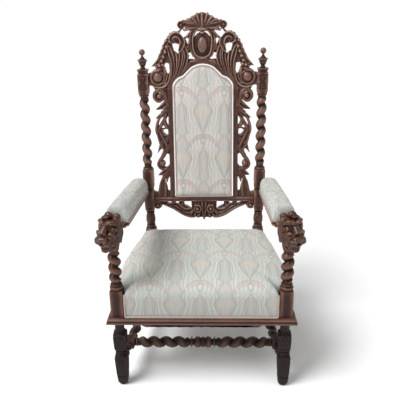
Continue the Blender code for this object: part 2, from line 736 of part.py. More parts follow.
def scroll(x, z, outer, inner, turns, start, hand, wide):
    """A spiral strand that winds in from the outer radius to the inner one."""
    count = round(turns * SCROLL_STEPS)
    share = np.linspace(0, 1, count)
    angles = start + hand * 2 * math.pi * turns * share
    radius = outer + (inner - outer) * share
    points = np.column_stack([x + radius * np.cos(angles), z + radius * np.sin(angles)])
    return blade(points, [wide, wide * 0.6], stations=count, front=CARVING_FRONT * 1.25)


def panel_outline(grow):
    """Outline of the upholstered panel, from its lower left corner over the dome, grown outwards."""
    half = PANEL_HALF
    dome = [(half, 0.0), (half * 0.965, 0.19), (half * 0.82, 0.40), (half * 0.66, 0.49), (half * 0.54, 0.64),
            (half * 0.36, 0.86), (0.0, 1.0)]
    right = np.array([(x, PANEL_SHOULDER + PANEL_DOME * rise) for x, rise in dome])
    top = np.vstack([right * [-1, 1], right[::-1][1:]])
    middle = np.array([0.0, PANEL_SHOULDER - half * 0.3])
    away = np.gradient(top, axis=0)
    away = np.column_stack([-away[:, 1], away[:, 0]])
    away /= np.linalg.norm(away, axis=1)[:, None]
    away[0] = (-1, 0)
    away[-1] = (1, 0)
    away *= np.sign(np.sum(away * (top - middle), axis=1))[:, None]
    return top + away * grow


def panel_opening():
    """The hole in the frame that the panel fills, as a block through the back."""
    outline = panel_outline(PAD_GAP)
    outline = np.vstack([[(-PANEL_HALF - PAD_GAP, LOWER_RAIL_TOP)], outline, [(PANEL_HALF + PAD_GAP, LOWER_RAIL_TOP)]])
    return ring_loft([[on_back(x, z, forward) for x, z in outline] for forward in (-2 * CARVING_BACK, 2 * CARVING_FRONT)])


def back_pad():
    """Stuffed panel of the back, with a crowned front and a flat rear."""
    top = panel_outline(0.0)
    outline = np.vstack([[(-PANEL_HALF, PANEL_BOTTOM)], top, [(PANEL_HALF, PANEL_BOTTOM)]])
    centre = np.array([0.0, (PANEL_BOTTOM + PANEL_SHOULDER) / 2])
    rings = []
    for forward, spread in ((-PANEL_BACK, 1.0), (PANEL_FRONT, 1.0), (PANEL_FRONT + PANEL_CROWN * 0.7, 0.93),
                            (PANEL_FRONT + PANEL_CROWN, 0.70)):
        rings.append([on_back(x, z, forward) for x, z in centre + (outline - centre) * spread])
    return ring_loft(rings)


def post_inner(height):
    """Half the clear width between the squares of the back posts."""
    return BACK_SPACING / 2 + POST_SPLAY * (height - BACK_BEND) - POST_SQUARE / 2


# The carver's drawing of the crest, in metres at the drawn size, is fitted to the sizes above
DRAWN_FOOT = 1.036
DRAWN_DOME = 1.137
DRAWN_TOP = 1.341
DRAWN_HALF = 0.2285
DRAWN_RAIL = 0.561
DRAWN_STILE = 0.150
DRAWN_APRON = 0.098


def crest_at(x, z):
    """Fit a point of the crest's drawing."""
    if z < DRAWN_DOME:
        height = CREST_FOOT + (z - DRAWN_FOOT) / (DRAWN_DOME - DRAWN_FOOT) * (PANEL_TOP - CREST_FOOT)
    else:
        height = PANEL_TOP + (z - DRAWN_DOME) / (DRAWN_TOP - DRAWN_DOME) * CREST_RISE
    return x * post_inner(CREST_FOOT) / DRAWN_HALF, height


def stile_at(x, z):
    """Fit a point of the stile's drawing: across from the stile's outer edge, and up from the rail."""
    height = LOWER_RAIL_TOP + (z - DRAWN_RAIL) / (DRAWN_FOOT - DRAWN_RAIL) * (CREST_FOOT - LOWER_RAIL_TOP)
    edge = PANEL_HALF + PAD_GAP + STILE_WIDTH
    reach = (post_inner(LOWER_RAIL_TOP) - edge) / (DRAWN_HALF - 0.006 - DRAWN_STILE)
    return edge + (x - DRAWN_STILE) * reach, height


def rail_at(x, z):
    """Fit a point of the lower rail's drawing."""
    height = LOWER_RAIL_TOP + (z - DRAWN_RAIL) * BACK_APRON_DROP / DRAWN_APRON
    return x * post_inner(LOWER_RAIL_TOP) / DRAWN_HALF, height


def drawn(fit, points, side=1):
    """Fit a list of drawing points, on the right or mirrored on the left."""
    fitted = [fit(x, z) for x, z in points]
    return [(side * x, z) for x, z in fitted]


def crest_rail():
    """Pierced crest: arch over the panel, volutes, leaves, husks, cartouche and shell."""
    inner = panel_outline(0.0)
    outer = panel_outline(PAD_GAP + STILE_WIDTH)
    inner[[0, -1], 1] = CREST_FOOT
    outer[[0, -1], 1] = CREST_FOOT
    rings = []
    for (ax, az), (bx, bz) in zip(inner, outer):
        mx, mz = (ax + bx) / 2, (az + bz) / 2
        rings.append([on_back(ax, az, -CARVING_BACK), on_back(ax, az, PANEL_FRONT), on_back(mx, mz, CARVING_FRONT),
                      on_back(bx, bz, PANEL_FRONT * 0.8), on_back(bx, bz, -CARVING_BACK)])
    shapes = [ring_loft(rings)]
    for side in (-1, 1):
        def leaf(points, widths, **more):
            shapes.append(blade(drawn(crest_at, points, side), widths, **more))

        def lump(x, z, wide, high, **more):
            (cx, cz), = drawn(crest_at, [(x, z)], side)
            shapes.append(boss(cx, cz, wide, high, **more))

        leaf([(0.170, 1.052), (0.143, 1.066), (0.132, 1.105), (0.134, 1.150), (0.142, 1.185), (0.148, 1.215)],
             [0.013, 0.012, 0.011, 0.016, 0.020, 0.012], stations=6)
        leaf([(0.137, 1.058), (0.115, 1.085), (0.103, 1.130), (0.101, 1.175), (0.108, 1.205)],
             [0.010, 0.013, 0.015, 0.012, 0.004], stations=5)
        leaf([(0.112, 1.090), (0.085, 1.125), (0.076, 1.165), (0.082, 1.205), (0.098, 1.240)],
             [0.010, 0.017, 0.018, 0.016, 0.012], stations=5)
        lump(0.116, 1.243, 0.027, 0.023)
        leaf([(0.128, 1.240), (0.146, 1.234), (0.160, 1.222)], [0.016, 0.013, 0.004], stations=4)
        leaf([(0.100, 1.255), (0.088, 1.242), (0.076, 1.240)], [0.010, 0.008, 0.004], stations=4)
        husks = smooth_path(drawn(crest_at, [(0.150, 1.222), (0.166, 1.192), (0.182, 1.164), (0.197, 1.142),
                                             (0.212, 1.126)], side), 5)[0]
        for start, end in zip(husks[:-1], husks[1:]):
            shapes.append(blade([start, (start + end) / 2, end + (end - start) * 0.25], [0.007, 0.014, 0.004], stations=3))
        leaf([(0.190, 1.152), (0.186, 1.128), (0.186, 1.100)], [0.013, 0.014, 0.012], stations=3)
        lump(0.187, 1.083, 0.034, 0.036, front=CARVING_FRONT * 0.8)
        (cx, cz), = drawn(crest_at, [(0.187, 1.083)], side)
        start = math.pi / 2 + side * VOLUTE_START
        shapes.append(scroll(cx, cz, VOLUTE_RADIUS, VOLUTE_EYE, VOLUTE_TURNS, start, -side, VOLUTE_BAND))
        bridge = post_inner(CREST_FOOT + 0.030) - JOINT_GAP
        low, high = CREST_FOOT + 0.026, CREST_FOOT + 0.070
        rings = []
        for x, depth in ((side * 0.200, 0.011), (side * bridge, 0.010)):
            rings.append([on_back(x, low, depth), on_back(x, high, depth), on_back(x, high, -depth), on_back(x, low, -depth)])
        shapes.append(ring_loft(rings))
        leaf([(0.020, 1.290), (0.048, 1.288), (0.080, 1.284)], [0.020, 0.017, 0.012], stations=4)
        leaf([(0.006, 1.300), (0.040, 1.312), (0.072, 1.308)], [0.010, 0.012, 0.003], stations=4)
        lump(0.089, 1.291, 0.018, 0.017)
        leaf([(0.030, 1.276), (0.055, 1.262), (0.080, 1.244)], [0.008, 0.006, 0.006], stations=4)
        for tip_x, tip_z in ((0.014, 1.335), (0.026, 1.324)):
            leaf([(0.002, 1.285), (tip_x * 0.7, 1.310), (tip_x, tip_z)], [0.006, 0.010, 0.004], stations=4)
        leaf([(0.036, 1.262), (0.054, 1.240), (0.056, 1.205), (0.042, 1.172), (0.018, 1.156)],
             [0.009, 0.010, 0.009, 0.009, 0.010], stations=7)
        leaf([(0.070, 1.200), (0.060, 1.200), (0.052, 1.200)], [0.007, 0.006, 0.006], stations=3)
    middle = [((0.0, DRAWN_TOP - 0.056), (0.0, DRAWN_TOP - 0.026), (0.0, DRAWN_TOP)),
              ((0.0, DRAWN_TOP - 0.049), (0.0, DRAWN_TOP - 0.079), (0.0, DRAWN_TOP - 0.096))]
    for points, wide in zip(middle, (0.011, 0.026)):
        shapes.append(blade(drawn(crest_at, points), [wide * 0.8, wide, wide * 0.4], stations=4))
    cx, cz = crest_at(0.0, 1.213)
    shapes.append(boss(cx, cz, 0.042, 0.056, front=CARVING_FRONT * 0.35))
    shapes.append(boss(cx, cz, 0.023, 0.036, front=CARVING_FRONT * 1.25))
    shapes.append(boss(cx, crest_at(0.0, 1.158)[1], 0.026, 0.012, front=CARVING_FRONT))
    return shapes


def back_stile(side):
    """Plain strip beside the panel, with the pierced leaves and curls on its outer edge."""
    inner = PANEL_HALF + PAD_GAP
    outer = inner + STILE_WIDTH
    foot = LOWER_RAIL_TOP + JOINT_GAP
    head = CREST_FOOT - JOINT_GAP
    rings = []
    for z in (foot, head):
        rings.append([on_back(side * inner, z, -CARVING_BACK), on_back(side * inner, z, PANEL_FRONT),
                      on_back(side * (inner + outer) / 2, z, CARVING_FRONT),
                      on_back(side * outer, z, PANEL_FRONT * 0.8), on_back(side * outer, z, -CARVING_BACK)])
    shapes = [ring_loft(rings)]

    def leaf(points, widths, **more):
        shapes.append(blade(drawn(stile_at, points, side), widths, **more))

    leaf([(0.140, 1.020), (0.180, 1.021), (0.202, 1.014)], [0.012, 0.012, 0.009], stations=4)
    (cx, cz), = drawn(stile_at, [(0.189, 1.002)], side)
    shapes.append(boss(cx, cz, 0.0175, 0.0175))
    leaf([(0.143, 1.012), (0.160, 0.980), (0.180, 0.962), (0.204, 0.951)], [0.012, 0.015, 0.012, 0.001], stations=5)
    leaf([(0.143, 0.962), (0.165, 0.938), (0.186, 0.924), (0.204, 0.913)], [0.010, 0.011, 0.009, 0.001], stations=5)
    leaf([(0.160, 0.940), (0.184, 0.915), (0.199, 0.880), (0.200, 0.838)], [0.005, 0.004, 0.004, 0.006], stations=6)
    leaf([(0.160, 0.938), (0.174, 0.912), (0.172, 0.886), (0.146, 0.866)], [0.004, 0.011, 0.011, 0.005], stations=5)
    leaf([(0.188, 0.885), (0.182, 0.868), (0.190, 0.845)], [0.003, 0.010, 0.010], stations=4)
    leaf([(0.202, 0.850), (0.176, 0.828), (0.172, 0.795), (0.184, 0.775), (0.202, 0.762)],
         [0.006, 0.020, 0.023, 0.015, 0.001], stations=6)
    leaf([(0.146, 0.784), (0.160, 0.764), (0.176, 0.742), (0.192, 0.722)], [0.010, 0.013, 0.009, 0.007], stations=5)
    (cx, cz), = drawn(stile_at, [(0.187, 0.711)], side)
    shapes.append(boss(cx, cz, 0.0155, 0.0165))
    leaf([(0.194, 0.704), (0.184, 0.692), (0.166, 0.686), (0.143, 0.690)], [0.005, 0.006, 0.007, 0.008], stations=5)
    leaf([(0.143, 0.690), (0.172, 0.674), (0.201, 0.661)], [0.012, 0.014, 0.001], stations=4)
    leaf([(0.170, 0.680), (0.169, 0.655), (0.158, 0.633)], [0.007, 0.009, 0.001], stations=4)
    leaf([(0.172, 0.668), (0.178, 0.640), (0.183, 0.600), (0.180, 0.572)], [0.006, 0.010, 0.023, 0.027], stations=6)
    leaf([(0.143, 0.577), (0.165, 0.577), (0.195, 0.577)], [0.0135, 0.0135, 0.010], stations=3)
    return shapes


def lower_rail():
    """Rail under the panel with its pierced apron: a serpentine band, scrolls and a pendant."""
    top = LOWER_RAIL_TOP
    foot = top - LOWER_RAIL_HEIGHT
    reach = post_inner(foot) - JOINT_GAP
    rings = []
    for x in (-reach, reach):
        rings.append([on_back(x, foot, -CARVING_BACK), on_back(x, foot, CARVING_FRONT * 0.8),
                      on_back(x, top, CARVING_FRONT * 0.8), on_back(x, top, -CARVING_BACK)])
    shapes = [ring_loft(rings)]
    for side in (-1, 1):
        def leaf(points, widths, **more):
            more.setdefault("front", CARVING_FRONT * 0.7)
            shapes.append(blade(drawn(rail_at, points, side), widths, **more))

        (cx, cz), = drawn(rail_at, [(0.206, 0.529)], side)
        shapes.append(boss(cx, cz, 0.0185, 0.023))
        leaf([(0.205, 0.540), (0.170, 0.528), (0.130, 0.508), (0.090, 0.486), (0.050, 0.473), (0.020, 0.476)],
             [0.005, 0.009, 0.010, 0.011, 0.010, 0.008], stations=7)
        for web_x, web_top, web_foot, wide in ((0.100, 0.548, 0.492, 0.011), (0.136, 0.548, 0.512, 0.007)):
            leaf([(web_x, web_top), (web_x + 0.004, (web_top + web_foot) / 2), (web_x, web_foot)], [wide, wide * 0.8, wide],
                 stations=3)
        leaf([(0.055, 0.550), (0.046, 0.520), (0.052, 0.482)], [0.012, 0.010, 0.012], stations=4)
        (cx, cz), = drawn(rail_at, [(0.029, 0.508)], side)
        shapes.append(boss(cx, cz, 0.021, 0.020, front=CARVING_FRONT * 0.6))
        shapes.append(scroll(cx, cz, 0.015, 0.004, 1.0, math.pi / 2, side, 0.0045))
    shapes.append(blade(drawn(rail_at, [(0.0, 0.549), (0.0, 0.510), (0.0, 0.480), (0.0, 0.463)]),
                        [0.030, 0.022, 0.016, 0.003], stations=5, front=CARVING_FRONT * 0.7))
    return shapes


def centre_on_floor(pieces):
    """Carry all pieces on one empty that puts the middle of their floor plan at the origin."""
    bpy.context.view_layer.update()
    corners = []
    for piece in pieces:
        corners += [piece.matrix_world @ vertex.co for vertex in piece.data.vertices]
    spread = np.array(corners)
    middle = (spread.min(axis=0) + spread.max(axis=0)) / 2
    holder = bpy.data.objects.new("throne_frame", None)
    bpy.context.collection.objects.link(holder)
    holder.location = (-middle[0], -middle[1], 0.0)
    for piece in pieces:
        piece.parent = holder


def build():
    """Make every piece of the throne."""
    clear_scene()
    walnut = material("old_walnut", WALNUT, 0.42)
    dark = material("dark_walnut", DARK_WALNUT, 0.50)
    cloth = material("woven_tapestry", TAPESTRY, 0.85)
    pieces = [
        make_object("front_moulding", front_moulding(), walnut),
        make_object("front_rail", front_rail(), dark),
        make_object("back_rail", back_rail(), walnut),
        make_object("front_apron", front_apron(), dark),
        make_object("cross_stretcher", cross_stretcher(), walnut),
        unite("seat_pad", seat_pad(), cloth),
        lean(make_object("back_pad", back_pad(), cloth)),
        lean(unite("crest_rail", crest_rail(), walnut, panel_opening())),
        lean(unite("lower_back_rail", lower_rail(), walnut)),
    ]
    for side, word in ((-1, "left"), (1, "right")):
        pieces += [
            make_object(f"front_post_{word}", front_post(side), walnut),
            make_object(f"back_post_{word}", back_post(side), walnut),
            make_object(f"side_moulding_{word}", side_moulding(side), walnut),
            make_object(f"side_rail_{word}", side_rail(side), dark),
            make_object(f"side_stretcher_{word}", side_stretcher(side), walnut),
            unite(f"arm_{word}", arm(side), walnut),
            make_object(f"arm_pad_{word}", arm_pad(side), cloth),
            lean(unite(f"back_stile_{word}", back_stile(side), walnut)),
        ]
    centre_on_floor(pieces)


build()
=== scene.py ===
# %% [markdown]
# # A carved walnut throne
# The chair is a heavy armchair in the Carolean revival manner: barley-twist posts,
# a pierced and carved back, lion heads on the arms and a pale woven cloth.
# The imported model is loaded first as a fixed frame. Every piece made below stands where
# a piece of that frame stands, so nothing here has to be fitted by eye.

import functools
import math

import bmesh
import bpy
import numpy as np
from mathutils import Matrix, Vector


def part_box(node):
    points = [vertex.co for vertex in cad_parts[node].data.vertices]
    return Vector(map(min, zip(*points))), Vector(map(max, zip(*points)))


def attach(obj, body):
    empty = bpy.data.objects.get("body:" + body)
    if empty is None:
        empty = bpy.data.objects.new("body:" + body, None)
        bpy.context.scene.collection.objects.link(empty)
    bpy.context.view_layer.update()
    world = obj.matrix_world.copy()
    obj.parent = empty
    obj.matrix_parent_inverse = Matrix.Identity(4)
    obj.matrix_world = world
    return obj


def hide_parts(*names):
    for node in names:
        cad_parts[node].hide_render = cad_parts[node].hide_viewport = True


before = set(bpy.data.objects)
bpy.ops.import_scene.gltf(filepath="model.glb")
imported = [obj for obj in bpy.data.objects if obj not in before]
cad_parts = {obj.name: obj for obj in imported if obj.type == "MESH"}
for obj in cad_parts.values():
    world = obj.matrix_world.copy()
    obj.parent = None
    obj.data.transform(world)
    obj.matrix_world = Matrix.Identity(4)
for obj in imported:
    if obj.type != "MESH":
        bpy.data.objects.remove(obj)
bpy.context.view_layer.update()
TAU = 2 * math.pi

# %% [markdown]
# ## Where things are
# A chair maker works from the seat: depths are counted back from the line through the
# front legs. The frame's origin is in the middle of the floor plan, so one shift turns
# a workshop depth into a frame depth. The sizes are those of the frame's own pieces.

# %% Sizes of the chair
FRONT_SQUARE = 0.047
POST_SQUARE = 0.048
FRONT_SPACING = 0.609
BACK_SPACING = 0.486
SEAT_DEPTH = 0.5465
FRAME_BOTTOM = 0.280
MOULDING_HIGH = 0.024
BACK_BEND = 0.417
RAKE = 0.0889
SPLAY = 0.0153
STRETCHER_HIGH = 0.103
CROSS_SETBACK = 0.115
ARM_SPREAD = 0.285
ARM_HIGH = 0.650
ARM_FALL = 0.128
FRONT_FACE = -FRONT_SQUARE / 2
BACK_FACE = SEAT_DEPTH - POST_SQUARE / 2
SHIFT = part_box("front_rail")[0][1] - FRONT_FACE
print("a workshop depth of 0 is the frame depth", round(SHIFT, 4))


def back_y(height):
    """Depth of the middle of the leaning back: the seat depth plus the rake times the rise."""
    return SEAT_DEPTH + RAKE * (np.asarray(height, float) - BACK_BEND)


# %% [markdown]
# ## Camera
# The photograph looks down on the chair from a little above its top, with a short
# telephoto lens. The camera's place, angles and lens were fitted to the picture.

# %% Camera
LENS_MM = 46.09
YAW, PITCH, ROLL = -0.035, 0.3453, -0.0166
EYE = Vector((0.0578, -1.8857, 1.3279))
ahead = Vector((math.sin(YAW) * math.cos(PITCH), math.cos(YAW) * math.cos(PITCH), -math.sin(PITCH)))
level = Vector((math.cos(YAW), -math.sin(YAW), 0.0))
above = level.cross(ahead)
right = level * math.cos(ROLL) + above * math.sin(ROLL)
upward = above * math.cos(ROLL) - level * math.sin(ROLL)
camera_data = bpy.data.cameras.new("studio_camera")
camera_data.lens = LENS_MM
camera_data.sensor_width = 36.0
camera = bpy.data.objects.new("studio_camera", camera_data)
camera.matrix_world = Matrix((
    (right.x, upward.x, -ahead.x, EYE.x),
    (right.y, upward.y, -ahead.y, EYE.y),
    (right.z, upward.z, -ahead.z, EYE.z),
    (0, 0, 0, 1)))
bpy.context.scene.collection.objects.link(camera)
bpy.context.scene.camera = camera
bpy.context.scene.view_settings.view_transform = "Standard"
print("camera looks down by", round(math.degrees(PITCH), 1), "degrees")

# %% [markdown]
# ## Colour and nodes
# Colours are picked as sRGB hex values, because that is how they are read off a screen,
# and one function turns them to the linear values that the shaders count in. A second
# small function adds any node with its settings and links, so that each material below
# reads as a list of what the surface is made of.


# %% Colour and node helpers
def linear(code):
    """sRGB hex to linear RGBA: each channel c becomes ((c + 0.055) / 1.055) to the power 2.4."""
    channels = [int(code[i:i + 2], 16) / 255 for i in (1, 3, 5)]
    return tuple(c / 12.92 if c <= 0.04045 else ((c + 0.055) / 1.055) ** 2.4 for c in channels) + (1.0,)


def add(tree, kind, *values, out=0, stops=(), curve=(), **settings):
    """Add a shader node with its settings and links, and return the socket of its result.

    The values fill the inputs in order, and a hex value becomes a linear colour. A setting is a
    property of the node or, failing that, the input of that name. stops are the (place, hex)
    pairs of a colour ramp, and curve holds the points of a float curve.
    """
    node = tree.nodes.new("ShaderNode" + kind)
    named = {key: value for key, value in settings.items() if not hasattr(node, key)}
    for key in settings.keys() - named.keys():
        setattr(node, key, settings[key])
    pairs = list(zip([socket for socket in node.inputs if socket.enabled], values))
    pairs += [(node.inputs[key], value) for key, value in named.items()]
    for socket, value in pairs:
        if isinstance(value, bpy.types.NodeSocket):
            tree.links.new(value, socket)
        else:
            socket.default_value = linear(value) if isinstance(value, str) else value
    for number, (place, code) in enumerate(stops):
        element = node.color_ramp.elements[number] if number < 2 else node.color_ramp.elements.new(place)
        element.position = place
        element.color = linear(code)
    for number, place in enumerate(curve):
        line = node.mapping.curves[0]
        point = line.points[number] if number < 2 else line.points.new(*place)
        point.location = place
        point.handle_type = "VECTOR"
    if curve:
        node.mapping.update()
    return [socket for socket in node.outputs if socket.enabled][out] if isinstance(out, int) else node.outputs[out]


def new_material(name):
    """An empty material, its Principled shader, and add() bound to its nodes."""
    made = bpy.data.materials.new(name)
    made.use_nodes = True
    tree = made.node_tree
    return made, tree.nodes["Principled BSDF"], functools.partial(add, tree)


def connect(shader, **sockets):
    """Link results to the inputs of a shader, and set the constants given with them."""
    for key, value in sockets.items():
        socket = shader.inputs[key.replace("_", " ")]
        if isinstance(value, bpy.types.NodeSocket):
            shader.id_data.links.new(value, socket)
        else:
            socket.default_value = value


# %% [markdown]
# ## Waxed walnut
# The wood is old black walnut, stained, carved with gouges and waxed for a century.
# Wax and dust have gone dark in the hollows, and hands have rubbed the high places to a
# greyish red-brown. The colour also paints light onto the carving: painted shade in the
# hollows and painted highlights on the high places. So the colour follows a number that
# each carved piece carries, called relief: how far a point stands above or below its
# surroundings. Under that lies the figure of the wood, long streaks about 3 mm wide and
# pores about 0.4 mm wide, drawn 0.8 mm wide so that they can be seen at all. Near the
# floor the wood is darker, from wet mops and floor wax and from painted shade under the seat.


# %% Walnut
GRAIN_ACROSS, GRAIN_ALONG, STREAKS = 330.0, 14.0, 0.9


def walnut(name, grain_axis, dark="#1e0f0a", middle="#4c2b22", worn_and_highlight="#a57c69", rub_and_highlight=0.5, deep=0.84,
           dirt_and_shade_below=0.30, dirt_and_shade=0.35, sheen=0.35):
    """Waxed walnut whose grain runs along one axis, darker below a height and in its hollows, partly as painted shade,
    and lighter on its crests, partly as painted highlights.
    """
    made, shader, node = new_material(name)
    place = node("TexCoord", out="Object")
    scale = [GRAIN_ACROSS] * 3
    scale[grain_axis] = GRAIN_ALONG
    along = node("Mapping", place, Scale=scale)
    streaks = node("TexNoise", along, Scale=STREAKS, Detail=4.0, Roughness=0.62, Distortion=0.6)
    pores = node("TexNoise", along, Scale=3.4, Detail=2.0, Roughness=0.5)
    clouds = node("TexNoise", place, Scale=22.0, Detail=3.0, Roughness=0.55)
    dust = node("TexNoise", place, Scale=160.0, Detail=3.0, Roughness=0.6)
    relief = node("Attribute", attribute_name="relief", out="Fac")
    speckle = node("Math", dust, 0.5, operation="SUBTRACT")
    broken = node("Math", speckle, 0.8, relief, operation="MULTIPLY_ADD")
    figure = node("ValToRGB", node("MapRange", streaks, 0.33, 0.68),
                  stops=((0.0, "#24120e"), (1.0, "#6a3d2d"), (0.45, "#42241b")))
    toned = node("Mix", node("MapRange", clouds, 0.35, 0.7), figure, middle, data_type="RGBA")
    # Hollows: dark wax and painted shade. Crests: wear from hands and painted highlights.
    hollow = node("MapRange", broken, 0.05, -0.60)
    rubbed_and_highlit = node("MapRange", broken, 0.25, 1.05)
    # Below a height the wood darkens: floor grime and painted shade under the seat.
    height = node("SeparateXYZ", place, out="Z")
    uneven = node("Math", clouds, 0.06, height, operation="MULTIPLY_ADD")
    soiled_and_shaded = node("MapRange", uneven, dirt_and_shade_below + 0.06, dirt_and_shade_below - 0.02)
    layers = ((hollow, deep, dark), (rubbed_and_highlit, rub_and_highlight, worn_and_highlight), (node("MapRange", pores, 0.62, 0.70), 0.45, "#1b0e0a"),
              (soiled_and_shaded, dirt_and_shade, "#160b08"))
    for mask, strength, code in layers:
        share = node("Math", mask, strength, operation="MULTIPLY")
        toned = node("Mix", share, toned, code, data_type="RGBA")
    gloss = node("Math", clouds, 0.22, 0.27, operation="MULTIPLY_ADD")
    rough = node("Math", node("Math", hollow, soiled_and_shaded, operation="MAXIMUM"), 0.26, gloss, operation="MULTIPLY_ADD")
    pitted = node("Math", dust, 0.5, pores, operation="MULTIPLY_ADD")
    bump = node("Bump", Strength=0.35, Distance=0.0004, Height=pitted)
    connect(shader, Base_Color=toned, Roughness=rough, Normal=bump, IOR=1.5, Specular_IOR_Level=sheen,
            Coat_Weight=0.14, Coat_Roughness=0.22)
    return made


# Back posts: grain up the post, dark wax and painted shade in the valleys of the twist, and wear and a painted
# highlight on its crests.
upright_walnut = walnut("waxed_walnut_upright_grain", 2)
# Front posts: darker, and almost black below the seat frame, from wax and wet mops and from painted shade under the
# seat.
leg_walnut = walnut("waxed_walnut_legs", 2, middle="#3c1f18", dirt_and_shade_below=0.290, dirt_and_shade=0.94, rub_and_highlight=0.28, sheen=0.2)
# Rails and cross stretcher: grain across, and crests paler, from wear by shoes and hands and from painted highlights.
level_walnut = walnut("waxed_walnut_level_grain", 0, worn_and_highlight="#b08d7c", rub_and_highlight=0.62)
# Seat moulding: the arris is rubbed to a warm mid brown and carries a painted highlight.
worn_and_highlit_walnut = walnut("waxed_walnut_rubbed_and_highlit_moulding", 0, middle="#5a372c", worn_and_highlight="#9a7461", dirt_and_shade_below=-1.0)
# Crest and stiles: lighter and greyer, as dust and old polish leave shallow carving, and as painted light over the
# whole board, with brighter painted highlights on the carving.
crest_walnut = walnut("carved_walnut_of_the_crest", 0, middle="#664539", worn_and_highlight="#c09c8c", rub_and_highlight=0.62, deep=0.66)
stile_walnut = walnut("carved_walnut_of_the_stiles", 2, middle="#55352b", worn_and_highlight="#a88270", rub_and_highlight=0.50, deep=0.72)
# Side stretchers, side rails and apron: the same wood with its grain from front to back, darker low down from floor
# grime and painted shade under the seat.
depth_walnut = walnut("waxed_walnut_front_to_back_grain", 1, dirt_and_shade=0.5)
# Lion heads and arms: the snouts and brows are worn to a golden brown by hands, and painted highlights lighten them
# further.
lion_walnut = walnut("carved_walnut_worn_and_highlit_golden", 2, worn_and_highlight="#b98f62", middle="#472c20", rub_and_highlight=0.66, deep=0.70)
print("walnut grain streaks about", round(1000 / GRAIN_ACROSS / STREAKS, 1), "mm wide")

# %% [markdown]
# ## Making a mesh from arrays
# Every new piece is a skin of points worked out with numpy. A piece may have several
# closed skins, such as a board and the leaf planted on it. Faces are turned outwards,
# and wood pieces get their relief number from the finished mesh: the points are
# averaged with their neighbours many times, and the distance from a point to that
# smoothed surface, along its normal, says whether it is a crest or a hollow.


# %% Mesh helpers
def grid_quads(rows, columns, around=False):
    """Faces of a grid of points. With around, the last column joins the first."""
    last = columns if around else columns - 1
    row, column = np.meshgrid(np.arange(rows - 1), np.arange(last), indexing="ij")
    beside = (column + 1) % columns
    return np.stack([row * columns + column, row * columns + beside,
                     (row + 1) * columns + beside, (row + 1) * columns + column], -1).reshape(-1, 4)


def skin_of_rings(rings):
    """A closed skin: quads between neighbouring rings, and a pole that closes each end."""
    rings = np.asarray(rings, float)
    count, around = rings.shape[:2]
    points = np.vstack([rings.reshape(-1, 3), rings[0].mean(0), rings[-1].mean(0)])
    column = np.arange(around)
    beside = (column + 1) % around
    last = (count - 1) * around
    foot = np.stack([beside, column, np.full(around, count * around)], -1)
    head = np.stack([last + column, last + beside, np.full(around, count * around + 1)], -1)
    return points, [grid_quads(count, around, True), foot, head]


def rows_of(items, key, columns, kind=np.float32):
    """A property of all the points, edges, corners or faces of a mesh, as rows of an array."""
    values = np.empty(len(items) * columns, kind)
    items.foreach_get(key, values)
    return values.reshape(-1, columns)


def placed(name, data):
    """A new object in the scene."""
    made = bpy.data.objects.new(name, data)
    bpy.context.scene.collection.objects.link(made)
    return made


def relief_of(mesh, rounds):
    """Height of each point over the surface smoothed by so many rounds of averaging, in mm."""
    count = len(mesh.vertices)
    points = rows_of(mesh.vertices, "co", 3).astype(float)
    normals = rows_of(mesh.vertex_normals, "vector", 3)
    edges = rows_of(mesh.edges, "vertices", 2, np.int32)
    edges = edges[np.linalg.norm(points[edges[:, 0]] - points[edges[:, 1]], axis=1) < 0.006]
    first, second = edges.T
    ends = np.concatenate([first, second])
    others = np.concatenate([second, first])
    degree = np.maximum(np.bincount(ends, minlength=count), 1)
    smoothed, relief = points.copy(), 0.0
    for more, share, deep in ((rounds, 0.65, 1.6), (rounds * 2, 0.5, 4.0)):
        for _ in range(more):
            sums = [np.bincount(ends, smoothed[others, k], count) for k in range(3)]
            mean = np.column_stack(sums) / degree[:, None]
            smoothed += 0.6 * (mean - smoothed)
        height = np.sum((points - smoothed) * normals, axis=1) * 1000
        relief = relief + share * np.tanh((height - np.median(height)) / deep)
    return relief


def mesh_of(name, skins):
    """One mesh from closed skins, with its doubles merged and its faces turned outwards."""
    points, face_sets, start = [], [], 0
    for skin_points, faces in skins:
        points.append(skin_points)
        face_sets += [np.asarray(f) + start for f in faces if len(f)]
        start += len(skin_points)
    points = np.vstack(points) + (0.0, SHIFT, 0.0)
    sizes = np.concatenate([np.full(len(f), f.shape[1]) for f in face_sets])
    corners = np.concatenate([f.ravel() for f in face_sets]).astype(np.int32)
    mesh = bpy.data.meshes.new(name)
    mesh.vertices.add(len(points))
    mesh.vertices.foreach_set("co", points.astype(np.float32).ravel())
    mesh.loops.add(len(corners))
    mesh.loops.foreach_set("vertex_index", corners)
    mesh.polygons.add(len(sizes))
    mesh.polygons.foreach_set("loop_start", np.concatenate([[0], np.cumsum(sizes)[:-1]]).astype(np.int32))
    mesh.update(calc_edges=True)
    mesh.validate()
    sheet = bmesh.new()
    sheet.from_mesh(mesh)
    bmesh.ops.remove_doubles(sheet, verts=sheet.verts, dist=1e-6)
    bmesh.ops.recalc_face_normals(sheet, faces=sheet.faces)
    sheet.to_mesh(mesh)
    sheet.free()
    return mesh


def finish_piece(name, mesh, finish, nodes, rounds=24, crease=38):
    """Dress a mesh: shade it smooth but for sharp arrises, give it its finish, and set it on the frame."""
    mesh.shade_smooth()
    mesh.set_sharp_from_angle(angle=math.radians(crease))
    if rounds:
        relief = mesh.attributes.new("relief", "FLOAT", "POINT")
        relief.data.foreach_set("value", relief_of(mesh, rounds).astype(np.float32))
    mesh.materials.clear()
    mesh.materials.append(finish)
    piece = placed(name, mesh)
    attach(piece, "root")
    if nodes:
        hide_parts(*nodes)
    triangles = sum(len(p.vertices) - 2 for p in mesh.polygons)
    print(f"{name}: {triangles} triangles")
    return piece


